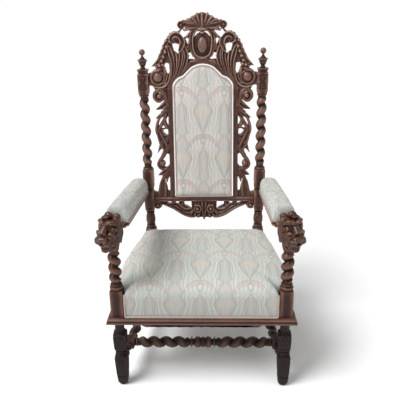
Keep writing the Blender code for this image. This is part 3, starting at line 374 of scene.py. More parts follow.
def wooden(name, skins, finish, nodes, rounds=24, crease=38):
    """A wooden piece from its skins."""
    return finish_piece(name, mesh_of(name, skins), finish, nodes, rounds, crease)


# %% [markdown]
# ## Turning and squaring
# A post is one length of walnut, square where a rail or an arm enters it and turned or
# twisted in between. On the lathe its shape is a radius for each height, so here it is a
# list of (height, half width, squareness) with a straight run between entries. The
# section is a superellipse: across / half to the power p, plus up / half to the power p,
# is 1. The power is 2 on a turned part and about 16 on a squared one.


# %% Section and turning helpers
AROUND = 64
TWIST_PLAIN = 0.0165
angles = np.arange(AROUND) * TAU / AROUND
COS, SIN = np.cos(angles), np.sin(angles)


def bead(start, end, neck, belly, square=0.0):
    """Entries of a bead or vase belly: a half wave from neck to belly and back."""
    return [(start + (end - start) * (1 - math.cos(t)) / 2, neck + (belly - neck) * math.sin(t), square)
            for t in np.linspace(0, math.pi, 9)]


def sweep(start, end, first, last, bend, square=0.0):
    """Entries of a concave or convex run between two half widths: share to the power bend."""
    share = np.linspace(0, 1, 7)
    return [(start + (end - start) * s, first + (last - first) * s ** bend, square) for s in share]


def sections(entries, step=0.0024):
    """Heights and section outlines of a profile, sampled at every entry and at most a step apart."""
    table = np.array(sorted(entries, key=lambda e: e[0]), float)
    keep = np.concatenate([[True], np.diff(table[:, 0]) > 1e-6])
    table = table[keep]
    heights = [table[:1, 0]]
    for low, high in zip(table[:-1, 0], table[1:, 0]):
        heights.append(np.linspace(low, high, max(2, math.ceil((high - low) / step) + 1))[1:])
    heights = np.concatenate(heights)
    half = np.interp(heights, table[:, 0], table[:, 1])
    power = 2 + 14 * np.interp(heights, table[:, 0], table[:, 2]) ** 2
    radius = half[:, None] / (np.abs(COS) ** power[:, None] + np.abs(SIN) ** power[:, None]) ** (1 / power[:, None])
    return heights, radius


def twist_radius(heights, start, end, turns, hand, core=0.0085, crest=0.0225):
    """Barley twist: radius = core + (crest - core) * |cos(phase / 2)| to the power 0.7.

    The phase runs round the post and once round again for each turn, so one bold rope
    winds up the post with a sharp valley beside it. It fades to a plain round at the ends.
    """
    share = (heights - start) / (end - start)
    phase = angles[None, :] - hand * TAU * turns * share[:, None]
    rope = core + (crest - core) * np.abs(np.cos(phase / 2)) ** 0.7
    fade = np.clip(np.minimum(share, 1 - share) * turns * 3.2, 0, 1)[:, None]
    fade = fade * fade * (3 - 2 * fade)
    return TWIST_PLAIN * (1 - fade) + rope * fade


def with_twist(heights, radius, start, end, turns, hand, core=0.0085, crest=0.0225):
    """Put a twist into the sections between two heights."""
    inside = (heights > start) & (heights < end)
    radius = radius.copy()
    radius[inside] = twist_radius(heights[inside], start, end, turns, hand, core, crest)
    return radius


def stand(heights, radius, axis):
    """Rings of an upright piece round an axis, a function from heights to (x, y)."""
    centre_x, centre_y = axis(heights)
    x = centre_x[:, None] + radius * COS
    y = centre_y[:, None] + radius * SIN
    return np.stack([x, y, np.broadcast_to(heights[:, None], x.shape)], -1)


def lay(lengths, radius, start, end, across):
    """Rings of a level piece from start to end, with its width along a given way."""
    start, end, across = (np.asarray(v, float) for v in (start, end, across))
    along = (end - start) / np.linalg.norm(end - start)
    centre = start + lengths[:, None] * along
    return (centre[:, None, :] + (radius * COS)[..., None] * across + (radius * SIN)[..., None] * (0.0, 0.0, 1.0))


def carve_faces(heights, radius, low, high, pattern, depth):
    """Sink a pattern into the four faces of a block between two heights.

    On each face the pattern gets across and up from -1 to 1, and returns 0 to 1: how much
    of the ground is cut away. The radius shrinks by depth times that.
    """
    inside = (heights > low) & (heights < high)
    up = ((heights[inside] - low) / (high - low) * 2 - 1)[:, None]
    face = (np.round(angles / (TAU / 4)) * TAU / 4)[None, :]
    across = np.tan(np.clip(angles[None, :] - face, -0.7853, 0.7853))
    radius = radius.copy()
    radius[inside] -= depth * pattern(np.broadcast_to(across, (len(up), AROUND)), up)
    return radius


# %% [markdown]
# ## Carved flowers on the blocks
# The squared blocks carry a simple flower or leaf cut a few millimetres deep, a different
# one at each height. Each is drawn as a height over the face of the block: petals are
# waves round the middle, and a leaf is a lobe with a cut vein.


# %% Patterns cut into the blocks
def smooth_step(value):
    """0 below 0, 1 above 1, with a soft run between them."""
    value = np.clip(value, 0, 1)
    return value * value * (3 - 2 * value)


def flower(across, up, petals=4, turn=0.0):
    """A flower in a sunk round: petals swell where cos(petals * angle) is high."""
    far = np.hypot(across, up)
    around = np.arctan2(up, across) + turn
    reach = 0.62 + 0.24 * np.abs(np.cos(around * petals / 2))
    petal = smooth_step((reach - far) * 7)
    vein = 0.35 * np.exp(-(np.sin(around * petals / 2) * 5 * far) ** 2)
    eye = smooth_step((0.22 - far) * 12)
    ground = smooth_step((0.98 - np.maximum(np.abs(across), np.abs(up))) * 9)
    return ground * np.clip(1 - petal * (0.95 - vein - 0.35 * (far < 0.3) * (1 - eye)), 0, 1)


def tulip(across, up):
    """A leaf that opens upwards: three lobes with cut veins, on a sunk ground."""
    centre = smooth_step((0.34 - 0.16 * up - np.abs(across)) * 7) * smooth_step((0.85 - np.abs(up)) * 5)
    bend = np.abs(across) - 0.30 - 0.30 * np.clip(up + 0.2, 0, 2)
    sides = smooth_step((0.17 - np.abs(bend)) * 9) * smooth_step((up + 0.75) * 3) * smooth_step((0.9 - up) * 6)
    vein = 0.5 * np.exp(-(across * 14) ** 2) + 0.4 * np.exp(-(bend * 16) ** 2)
    ground = smooth_step((0.96 - np.maximum(np.abs(across), np.abs(up))) * 9)
    return ground * np.clip(1 - np.maximum(centre, sides) + vein * np.maximum(centre, sides), 0, 1)


def hourglass(across, up):
    """Two leaves that meet point to point in a sunk panel, with a small round at each side."""
    wide = 0.12 + 0.55 * np.abs(up) ** 1.2
    leaf = smooth_step((wide - np.abs(across)) * 6) * smooth_step((0.88 - np.abs(up)) * 6)
    side = smooth_step((0.24 - np.hypot(np.abs(across) - 0.62, up * 1.5)) * 8)
    ribs = 0.45 * (0.5 + 0.5 * np.cos(across * 22)) * leaf
    ground = smooth_step((0.97 - np.maximum(np.abs(across), np.abs(up))) * 10)
    return ground * np.clip(1 - np.maximum(leaf, side) + ribs, 0, 1)


# %% [markdown]
# ## Back posts
# Each back post is the rear leg, the vase above the seat, the block that takes the arm,
# six turns of barley twist, the carved block beside the crest and a turned finial. It
# leans back with the back, spreads a little, and its foot kicks to the rear.


# %% Back posts
def back_post_axis(side):
    """Centre line of a back post: raked and splayed above the seat, kicked back at the foot."""
    def axis(heights):
        rise = np.maximum(heights - BACK_BEND, 0)
        kick = 0.022 * np.maximum(0, 1 - heights / 0.073)
        return side * (BACK_SPACING / 2 + SPLAY * rise), SEAT_DEPTH + RAKE * rise + kick
    return axis


REAR_LEG = 0.022
ARM_BLOCK_TOP = 0.7047
UPPER_TOP = 1.1197
FINIAL_TOP = 1.1997


def back_post(side):
    """Entries from the floor to the finial, then the twist and the carved blocks."""
    half, leg = POST_SQUARE / 2, REAR_LEG
    entries = [(0.0, leg * 0.84, 0.9), (0.003, leg * 0.88, 0.95), (0.073, leg, 0.97), (FRAME_BOTTOM, leg, 0.97),
               (FRAME_BOTTOM + 0.0015, half, 0.97), (BACK_BEND - 0.004, half, 0.97), (BACK_BEND, half * 0.97, 0.9)]
    entries += sweep(BACK_BEND + 0.001, BACK_BEND + 0.010, half * 0.98, half * 0.78, 0.6)
    entries += bead(BACK_BEND + 0.010, BACK_BEND + 0.018, half * 0.72, half * 0.86)
    entries += bead(BACK_BEND + 0.018, 0.487, half * 0.56, half * 0.90)
    entries += bead(0.487, 0.494, half * 0.60, half * 0.80)
    entries += [(0.496, half * 0.62, 0.0), (0.500, half * 0.74, 0.25)]
    entries += sweep(0.502, 0.524, half * 0.82, half * 0.96, 0.6, 0.62)
    entries += [(0.575, half, 0.66), (0.592, half * 0.90, 0.6), (0.602, half * 0.86, 0.6)]
    entries += sweep(0.604, 0.624, half * 0.92, half, 0.5, 0.8)
    entries += [(0.684, half, 0.9), (0.688, half * 0.95, 0.85)]
    entries += bead(0.689, 0.697, half * 0.82, half * 0.95)
    entries += [(0.699, half * 0.70, 0.0), (ARM_BLOCK_TOP, half * 0.66, 0.0)]
    twist_low, twist_high = 0.7107, 1.0007
    entries += [(twist_low, TWIST_PLAIN, 0.0), (twist_high, TWIST_PLAIN, 0.0)]
    entries += [(1.0037, half * 0.72, 0.0)]
    entries += bead(1.005, 1.0115, half * 0.74, half * 0.86, 0.2)
    entries += sweep(1.013, 1.034, half * 0.84, half, 0.55, 0.7)
    entries += [(1.094, half, 0.86), (1.099, half * 0.97, 0.8), (1.1005, half * 0.84, 0.7)]
    entries += sweep(1.103, 1.112, half * 0.82, half * 0.92, 1.8, 0.8)
    entries += [(1.114, half * 0.97, 0.9), (1.1175, half * 0.97, 0.9), (UPPER_TOP, half * 0.70, 0.6)]
    entries += bead(1.1205, 1.1265, half * 0.36, half * 0.46)
    entries += sweep(1.128, 1.1485, half * 0.32, half * 0.72, 0.62)
    entries += [(1.150, half * 0.66, 0.0), (1.1525, half * 0.90, 0.0), (1.1555, half * 0.90, 0.0)]
    entries += sweep(1.1565, 1.170, half * 0.80, half * 0.20, 0.6)
    entries += [(1.1735, half * 0.20, 0.0)]
    entries += bead(1.1740, FINIAL_TOP, half * 0.02, half * 0.54)
    heights, radius = sections(entries)
    radius = with_twist(heights, radius, twist_low, twist_high, 6, side)
    radius = carve_faces(heights, radius, 1.030, 1.096, hourglass, 0.0034)
    radius = carve_faces(heights, radius, 0.508, 0.578, tulip, 0.0022)
    radius = carve_faces(heights, radius, 0.592, 0.630, tulip, 0.0022)
    return skin_of_rings(stand(heights, radius, back_post_axis(side)))


for side, word in ((-1, "left"), (1, "right")):
    wooden(f"twisted_back_post_{word}", [back_post(side)], upright_walnut, [f"back_post_{word}"], rounds=40)

# %% [markdown]
# ## Front posts
# A front post starts in a small turned toe, swells into a block that takes the stretcher,
# passes some rings, a second carved block and a flared neck under the seat moulding.
# Above the plain seat block a turned ring starts three turns of twist that end under the
# lion's chin.

# %% Front posts
SEAT_BLOCK_TOP = 0.408
CHIN = 0.556


def front_post(side):
    """Entries from the toe to the chin, then the twist and the carved blocks."""
    half = FRONT_SQUARE / 2
    entries = [(0.0, half * 0.52, 0.0), (0.004, half * 0.70, 0.1), (0.012, half * 0.80, 0.3)]
    entries += sweep(0.014, 0.030, half * 0.80, half * 0.86, 2.0, 0.6)
    entries += [(0.057, half * 0.94, 0.8), (0.100, half * 1.02, 0.82), (0.124, half * 1.05, 0.75),
                (0.131, half * 0.98, 0.5)]
    entries += bead(0.133, 0.139, half * 0.84, half * 0.97)
    entries += bead(0.140, 0.150, half * 0.76, half * 0.94)
    entries += [(0.152, half * 0.78, 0.0), (0.157, half * 0.84, 0.5)]
    entries += sweep(0.159, 0.172, half * 0.86, half * 0.99, 0.6, 0.8)
    entries += [(0.216, half * 1.05, 0.82), (0.225, half * 1.02, 0.6), (0.2275, half * 0.9, 0.3)]
    entries += bead(0.2285, 0.2345, half * 0.84, half * 0.98)
    entries += sweep(0.236, 0.256, half * 0.76, half * 0.72, 1.0)
    entries += sweep(0.257, 0.268, half * 0.74, half * 0.92, 1.7)
    entries += [(0.2715, half * 0.93, 0.3), (0.2725, half, 0.95), (SEAT_BLOCK_TOP - 0.003, half, 0.97)]
    entries += [(SEAT_BLOCK_TOP, half * 0.95, 0.9), (SEAT_BLOCK_TOP + 0.001, half * 0.86, 0.0)]
    entries += bead(0.4095, 0.4235, half * 0.84, half * 1.02)
    entries += [(0.425, half * 0.76, 0.0)]
    entries += bead(0.426, 0.433, half * 0.72, half * 0.88)
    entries += [(0.435, half * 0.70, 0.0), (0.438, TWIST_PLAIN, 0.0), (CHIN, TWIST_PLAIN, 0.0)]
    heights, radius = sections(entries)
    radius = with_twist(heights, radius, 0.438, CHIN, 3, side, core=0.0095, crest=0.0235)
    radius = carve_faces(heights, radius, 0.160, 0.224, flower, 0.0036)
    radius = carve_faces(heights, radius, 0.034, 0.126, tulip, 0.0034)
    centre = side * FRONT_SPACING / 2
    return skin_of_rings(stand(heights, radius, lambda z: (np.full_like(z, centre), np.zeros_like(z))))


for side, word in ((-1, "left"), (1, "right")):
    wooden(f"twisted_front_post_{word}", [front_post(side)], leg_walnut, [f"front_post_{word}"], rounds=40)

# %% [markdown]
# ## Stretchers
# Three twisted stretchers make an H between the legs. The side ones have a block where
# the cross one enters. The cross one has a turned barrel in its middle, with a thin disc
# on each side of it, and from there its two twists run in opposite hands.


# %% Stretchers
STRETCHER_BLOCK, LAP = 0.0195, 0.001


def side_axis(side, depth):
    """X of the line from front leg to rear leg at a depth."""
    share = depth / SEAT_DEPTH
    return side * (FRONT_SPACING / 2 * (1 - share) + BACK_SPACING / 2 * share)


def side_stretcher(side):
    """Short twist, block, long twist and square tenon, from the front leg to the rear one."""
    front = np.array([side * FRONT_SPACING / 2, 0.0, STRETCHER_HIGH])
    rear = np.array([side * BACK_SPACING / 2, SEAT_DEPTH, STRETCHER_HIGH])
    along = (rear - front) / np.linalg.norm(rear - front)
    start = front + along * (FRONT_SQUARE * 0.5 - LAP) / along[1]
    end = rear - along * (REAR_LEG - LAP) / along[1]
    length = np.linalg.norm(end - start)
    block = (CROSS_SETBACK - start[1]) / along[1]
    entries = [(0.0, 0.015, 0.0)] + bead(0.001, 0.008, 0.013, 0.017)
    entries += [(0.010, 0.0140, 0.0), (block - 0.030, 0.0140, 0.0)] + bead(block - 0.029, block - 0.023, 0.013, 0.017)
    entries += [(block - 0.021, STRETCHER_BLOCK, 0.95), (block + 0.021, STRETCHER_BLOCK, 0.95)]
    entries += bead(block + 0.023, block + 0.029, 0.013, 0.017)
    entries += [(block + 0.031, 0.0140, 0.0), (length - 0.036, 0.0140, 0.0)]
    entries += bead(length - 0.034, length - 0.027, 0.013, 0.017)
    entries += [(length - 0.025, 0.018, 0.95), (length, 0.018, 0.95)]
    lengths, radius = sections(entries, 0.002)
    radius = with_twist(lengths, radius, 0.010, block - 0.030, 1, side, 0.0085, 0.019)
    radius = with_twist(lengths, radius, block + 0.031, length - 0.036, 6, side, 0.0085, 0.0205)
    return skin_of_rings(lay(lengths, radius, start, end, (1.0, 0.0, 0.0)))


def cross_stretcher():
    """One half is worked out from the middle of the barrel outwards, and the other mirrors it."""
    reach = side_axis(1, CROSS_SETBACK) - STRETCHER_BLOCK - 0.0005
    entries = [(0.0, 0.0190, 0.0)] + bead(0.0006, 0.0070, 0.0175, 0.0205) + [(0.0076, 0.0172, 0.0)]
    entries += bead(0.0085, 0.033, 0.0140, 0.0218) + [(0.0345, 0.0125, 0.0), (0.0415, 0.0125, 0.0)]
    entries += [(0.0432, 0.0200, 0.0), (0.0440, 0.0212, 0.0), (0.0462, 0.0212, 0.0), (0.0470, 0.0200, 0.0),
                (0.0490, 0.0125, 0.0), (0.0550, 0.0130, 0.0), (0.2560, 0.0130, 0.0)]
    entries += bead(0.258, reach - 0.004, 0.0130, 0.0175) + [(reach, 0.0160, 0.0)]
    lengths, radius = sections(entries, 0.002)
    radius = with_twist(lengths, radius, 0.0555, 0.2560, 4, -1, 0.0085, 0.0225)
    ends = [(x, CROSS_SETBACK, STRETCHER_HIGH) for x in (0, reach)]
    rings = lay(lengths, radius, *ends, across=(0, 1, 0))
    mirrored = rings[::-1] * (-1, 1, 1)
    return skin_of_rings(np.concatenate([mirrored[:-1], rings]))


for side, word in ((-1, "left"), (1, "right")):
    wooden(f"twisted_side_stretcher_{word}", [side_stretcher(side)], depth_walnut,
           [f"side_stretcher_{word}"], rounds=40)
wooden("twisted_cross_stretcher", [cross_stretcher()], level_walnut, ["cross_stretcher"], rounds=40)
for node_name, finish in (("front_rail", level_walnut), ("back_rail", level_walnut), ("side_rail_left", depth_walnut),
                          ("side_rail_right", depth_walnut)):
    rail_mesh = bpy.data.objects[node_name].data
    rail_mesh.materials.clear()
    rail_mesh.materials.append(finish)

# %% [markdown]
# ## Drawing the pierced carving
# The back is one sawn board, pierced first and then carved from the front, so at each
# place it has one height over its flat rear. A carver draws leaves, scrolls and bosses on
# the board, and so does this cell: each form is a path with a width, or an egg with two
# radii, and it gives two numbers at a point, how far the point lies inside its outline and
# how high the wood stands there. Where forms overlap, the higher one wins, which leaves
# the crisp valley that a gouge leaves. All drawing sizes are in millimetres, on the right
# half of the back, and the left half mirrors it.


# %% Forms of the carver's drawing
def smooth_path(points, stations):
    """Points along a Catmull-Rom curve through a few given ones, and the share of the way at each."""
    points = np.asarray(points, float)
    padded = np.vstack([2 * points[0] - points[1], points, 2 * points[-1] - points[-2]])
    where = np.linspace(0, len(points) - 1, stations)
    index = np.minimum(where.astype(int), len(points) - 2)
    local = (where - index)[:, None]
    before, start, end, after = (padded[index + k] for k in range(4))
    curve = 0.5 * (2 * start + (end - before) * local + (2 * before - 5 * start + 4 * end - after) * local ** 2
                   + (3 * start - before - 3 * end + after) * local ** 3)
    return curve, where / (len(points) - 1)


def near_path(x, z, curve, share):
    """Distance to a path, and the share of the way along it: the nearest of its straight steps."""
    start, step = curve[:-1], np.diff(curve, axis=0)
    away = np.stack([x, z], -1)[:, None, :] - start
    along = np.clip(np.sum(away * step, -1) / np.maximum(np.sum(step * step, -1), 1e-9), 0, 1)
    gap = away - along[..., None] * step
    far = np.sum(gap * gap, -1)
    best = np.argmin(far, axis=1)
    row = np.arange(len(x))
    passed = share[best] + along[row, best] * (share[best + 1] - share[best])
    return np.sqrt(far[row, best]), passed


def strand(points, widths, top, kind="round", edge=3.0, count=None):
    """A leaf or strand: half widths along a path, and the height of its ridge in mm."""
    curve, share = smooth_path(points, count or 7 * len(points))
    reach = max(widths) * 1.3 + 2

    def form(x, z):
        far, passed = near_path(x, z, curve, share)
        wide = np.interp(passed, np.linspace(0, 1, len(widths)), widths)
        across = np.clip(far / np.maximum(wide, 0.1), 0, 1)
        swell = 0.55 + 0.45 * wide / max(widths)
        if kind == "round":
            body = np.sqrt(1 - across ** 2)
        elif kind == "leaf":
            vein = 0.30 * np.exp(-(across / 0.13) ** 2)
            ribs = 0.13 * np.cos(TAU * (passed * len(points) * 2.2 + across * 1.1)) * np.sin(math.pi * across)
            body = 0.25 + 0.75 * np.sqrt(1 - across ** 2) - vein + ribs
        elif kind == "channel":
            body = 0.50 + 0.50 * np.sin(math.pi * np.clip(across - 0.28, 0, 0.72) / 0.72) - 0.35 * (across > 0.999)
        else:
            body = np.minimum(1, (1 - across) * 6)
        return wide - far, edge + (top * swell - edge) * body
    low, high = curve.min(0) - reach, curve.max(0) + reach
    return form, (*low, *high)


def boss(x0, z0, wide, high, top, kind="round", edge=3.0, tilt=0.0):
    """An egg: radii across and up, turned by a tilt in degrees, and the height of its crown in mm."""
    turn = math.radians(tilt)

    def form(x, z):
        a = (x - x0) * math.cos(turn) + (z - z0) * math.sin(turn)
        b = (z - z0) * math.cos(turn) - (x - x0) * math.sin(turn)
        far = np.hypot(a / wide, b / high)
        inside = np.clip(far, 0, 1)
        body = np.sqrt(1 - inside ** 2) if kind == "round" else np.minimum(1, (1 - inside) * 5)
        if kind == "flower":
            petals = 0.82 + 0.18 * np.cos(np.arctan2(b, a) * 5)
            body = np.sqrt(1 - inside ** 2) * petals - 0.4 * np.exp(-(inside / 0.2) ** 2)
        return (1 - far) * min(wide, high), edge + (top - edge) * body
    reach = max(wide, high) + 2
    return form, (x0 - reach, z0 - reach, x0 + reach, z0 + reach)


def scroll(x0, z0, outer, inner, turns, start, hand, wide, top, kind="channel", edge=4.0):
    """A spiral strand from the outer radius at a start angle in degrees, winding inwards."""
    share = np.linspace(0, 1, max(4, round(turns * 8)))
    angle = math.radians(start) + hand * TAU * turns * share
    radius = outer + (inner - outer) * share ** 0.8
    points = np.column_stack([x0 + radius * np.cos(angle), z0 + radius * np.sin(angle)])
    return strand(points, [wide, wide * 0.85, wide * 0.6], top, kind, edge, count=5 * len(points))


def polygon_inside(x, z, corners):
    """Distance inside a polygon, negative outside it: nearest edge, signed by the crossing count."""
    corners = np.asarray(corners, float)
    closed = np.vstack([corners, corners[:1]])
    far = near_path(x, z, closed, np.linspace(0, 1, len(closed)))[0]
    crossings = np.zeros(len(x), int)
    for (ax, az), (bx, bz) in zip(closed[:-1], closed[1:]):
        if az != bz:
            crossings += ((az > z) != (bz > z)) & (x < (bx - ax) * (z - az) / (bz - az) + ax)
    return np.where(crossings % 2 == 1, far, -far)


def ground(corners, top):
    """A flat sunk ground inside an outline."""
    corners = np.asarray(corners, float)

    def form(x, z):
        inside = polygon_inside(x, z, corners)
        return inside, np.minimum(top, 1.5 + 2.5 * np.maximum(inside, 0))
    low, high = corners.min(0) - 3, corners.max(0) + 3
    return form, (*low, *high)


def drawing_at(forms, openings, x, z):
    """Inside distance and height at points of the drawing: the union of the forms less the openings.

    Forms and openings are drawn for the right half, and the left mirrors it.
    """
    inside = np.full(len(x), -30.0)
    height = np.zeros(len(x))
    right = np.abs(x)
    for form, (low_x, low_z, high_x, high_z) in forms:
        near = (right > low_x) & (right < high_x) & (z > low_z) & (z < high_z)
        if near.any():
            depth, lift = form(right[near], z[near])
            raised = np.maximum(height[near], np.where(depth > 0, lift, 1.0))
            height[near] = np.where(depth > -2.0, raised, height[near])
            inside[near] = np.maximum(inside[near], depth)
    for corners in openings:
        corners = np.asarray(corners, float)
        near = (np.abs(right - corners[:, 0].mean()) < 45) & (np.abs(z - corners[:, 1].mean()) < 60)
        if near.any():
            inside[near] = np.minimum(inside[near], -polygon_inside(right[near], z[near], corners))
    return inside, height


# %% [markdown]
# ## The crest's drawing
# Over the arch of the panel two volutes rest against the posts. From under each one a
# sheaf of long gouged strands sweeps up and inwards, and leaves and husks tumble down its
# outside to a pointed tip. In the middle a shield with a plain oval cabochon carries a
# shell, and two scrolled leaves run out from the shell like wings.

# %% Forms of the crest
PANEL = np.array([(128, 1000), (128, 1042.7), (123.5, 1060.7), (105, 1080.7), (84.5, 1089.3), (69, 1103.5),
                  (46, 1124.4), (22, 1134.5), (0, 1137.7)], float)
arch_line = smooth_path(PANEL, 60)[0]
panel_shape = np.vstack([[(0, 561), (128, 561)], arch_line])
arch_away = np.gradient(arch_line, axis=0)
arch_away = np.column_stack([-arch_away[:, 1], arch_away[:, 0]]) * -1
arch_away /= np.linalg.norm(arch_away, axis=1)[:, None]
arch_middle = arch_line + arch_away * 11.5
crest_forms = [
    strand(arch_middle[10:], [11.2, 11.2], 13, "flat", 7, count=90),
    strand([(128, 1012), (133, 1040), (128, 1066), (112, 1084)], [9, 10, 10, 9], 13, "round", 7),
    ground([(0, 1136), (40, 1132), (78, 1102), (112, 1082), (140, 1050), (152, 1040), (160, 1072), (143, 1100),
            (141, 1150), (148, 1196), (150, 1226), (128, 1226), (120, 1192), (104, 1180), (88, 1196), (84, 1226),
            (60, 1212), (50, 1190), (58, 1160), (38, 1156), (0, 1158)], 7),
    strand([(212, 1050), (188, 1042), (163, 1047), (147, 1064), (139, 1088), (135, 1112), (135, 1136), (142, 1156)],
           [4, 6, 6.5, 6, 5, 4.5, 4.5, 3], 15, "round"),
    strand([(186, 1053), (166, 1060), (153, 1078), (149, 1098)], [3, 4.5, 5, 3], 13),
    strand([(150, 1052), (133, 1078), (125, 1110), (125, 1145), (132, 1176), (141, 1206)],
           [4, 7, 8, 9.5, 12, 8], 18, "channel", 6),
    strand([(139, 1056), (120, 1085), (110, 1120), (107, 1155), (112, 1188)], [3, 5, 6, 6, 3], 16),
    strand([(130, 1064), (107, 1098), (95, 1135), (89, 1170), (93, 1204)], [4, 7, 9, 9.5, 7], 19, "channel", 6),
    strand([(116, 1078), (96, 1105), (84, 1135), (80, 1162)], [2.5, 5, 5, 2.5], 13),
    strand([(104, 1088), (83, 1116), (71, 1148), (68, 1180), (79, 1212)],
           [4.5, 8.5, 10.5, 11.5, 8.5], 18, "channel", 6),
    strand([(88, 1098), (66, 1124), (52, 1144), (44, 1152)], [4.5, 8, 7, 3.5], 14),
    strand([(93, 1196), (82, 1222), (90, 1246), (110, 1256), (127, 1247), (130, 1232), (118, 1227)],
           [11, 14, 14, 13, 12, 10, 7], 20, "channel", 7),
    ground([(96, 1216), (124, 1222), (134, 1236), (122, 1254), (100, 1254), (86, 1236)], 10),
    boss(111, 1240, 12, 10, 21, "flower"),
    boss(101, 1262, 8, 7, 15), boss(118, 1263, 9, 7, 16), boss(132, 1257, 8, 7, 15, tilt=-30),
    boss(141, 1244, 8, 8, 16, tilt=-30), boss(151, 1231, 9, 8, 16, tilt=-40), boss(137, 1230, 9, 7, 18),
    strand([(58, 1200), (70, 1222), (84, 1240), (95, 1258)], [7, 9.5, 9, 6], 15, "channel", 6),
    strand([(26, 1279), (48, 1264), (66, 1247), (84, 1240)], [5, 6.5, 6, 5], 13),
    strand([(82, 1284), (90, 1270), (100, 1260)], [6, 7, 8], 12),
    strand([(50, 1230), (56, 1214), (64, 1204), (76, 1208)], [4, 5, 7, 6], 14),
    strand([(8, 1284), (34, 1288), (60, 1292), (84, 1300)], [8, 13, 14, 9], 15, "channel", 6),
    strand([(12, 1280), (40, 1280), (62, 1277), (79, 1270)], [5, 7, 7, 4], 15),
    strand([(20, 1296), (44, 1304), (64, 1306), (80, 1310)], [5, 7, 6, 4], 14),
    boss(88, 1294, 16.5, 16, 12), scroll(88, 1294, 12.5, 3, 1.35, 150, -1, 4.8, 19), boss(87, 1294, 5.5, 5.5, 20),
    ground([(0, 1276), (72, 1286), (80, 1302), (66, 1314), (46, 1323), (29, 1333), (13, 1339), (0, 1342)], 11),
    strand([(0, 1278), (0, 1308), (0, 1341)], [7, 10, 7], 19, "round"),
    strand([(5, 1280), (13, 1308), (21, 1334)], [5, 8.5, 7], 17, "round"),
    strand([(9, 1281), (26, 1304), (40, 1322)], [5, 9.5, 7.5], 16),
    strand([(14, 1284), (37, 1300), (60, 1312)], [5, 9, 7], 15),
    boss(0, 1216, 40, 50, 6, "flat"),
    strand([(10, 1272), (26, 1270), (37, 1252), (40, 1224), (37, 1194), (26, 1172), (8, 1164)],
           [4, 5, 5, 4.5, 5, 5, 4], 15, "round"),
    strand([(30, 1270), (46, 1256), (53, 1238), (50, 1216), (47, 1196), (40, 1176), (28, 1164)],
           [5, 7, 7, 7, 7.5, 7, 5], 12, "round", 3),
    boss(0, 1213, 26, 39, 12, "flat"), boss(0, 1213, 22.5, 35.5, 25),
    boss(0, 1277, 27, 8, 19), boss(0, 1262, 12, 6, 15), boss(0, 1160, 32, 10, 15), boss(0, 1150, 44, 8, 12),
    strand([(146, 1230), (156, 1210), (164, 1194)], [8, 13, 8], 15, "channel", 6), boss(149, 1207, 8.5, 9.5, 19),
    strand([(152, 1208), (164, 1192), (173, 1174)], [8, 12, 8], 16, "channel", 6), boss(156, 1187, 9, 9, 20),
    strand([(158, 1190), (172, 1174), (183, 1158)], [8, 12, 8], 16, "channel", 6), boss(164, 1168, 9, 9, 20),
    strand([(164, 1172), (178, 1158), (192, 1142)], [8, 12.5, 9], 16, "channel", 6), boss(172, 1151, 9, 9, 20),
    strand([(174, 1156), (193, 1142), (215, 1129)], [11, 11, 1.2], 14, "channel", 5),
    strand([(170, 1160), (178, 1136), (184, 1112)], [11, 14, 13], 10, "flat"),
    boss(182, 1133, 10, 9, 19), boss(169, 1136, 9, 9, 16), boss(194, 1128, 8, 7, 14), boss(184, 1118, 13, 7, 14),
    strand([(163, 1120), (160, 1100), (163, 1080)], [7, 8, 7], 12),
    boss(190, 1083, 36, 36, 8, "flat"),
    scroll(190, 1083, 29.5, 27, 1.0, 100, -1, 7.0, 14, "round", 8), boss(190, 1084, 23, 23, 21),
    ground([(134, 1140), (160, 1140), (168, 1176), (160, 1212), (148, 1230), (134, 1226)], 9),
    strand([(212, 1076), (236, 1076)], [26, 27], 9, "flat"),
]
crest_openings = [
    [(95, 1262), (88, 1254), (78, 1243), (68, 1251), (50, 1270), (62, 1269), (76, 1268), (82, 1278)],
    [(70, 1238), (62, 1239), (56, 1238), (60, 1216)],
    [(101, 1192), (97, 1206), (103, 1217), (112, 1221), (121, 1219), (125, 1210), (120, 1197),
     (112, 1187), (105, 1184)],
    [(61, 1181), (49, 1184), (44, 1172), (38, 1158), (59, 1158), (54, 1170)],
    [(158, 1134), (155, 1143), (148, 1143), (141, 1130), (139, 1112), (143, 1102), (150, 1103), (157, 1116)],
]
print("crest:", len(crest_forms), "carved forms on its right half")

# %% [markdown]
# ## The stiles' and the lower rail's drawings
# Beside the panel runs a plain flat stile, and outside it a ladder of scrolls, pointed
# leaves and stems that almost touches the post. Under the panel the rail carries a
# pierced apron with two scrolls and a leaf in the middle.

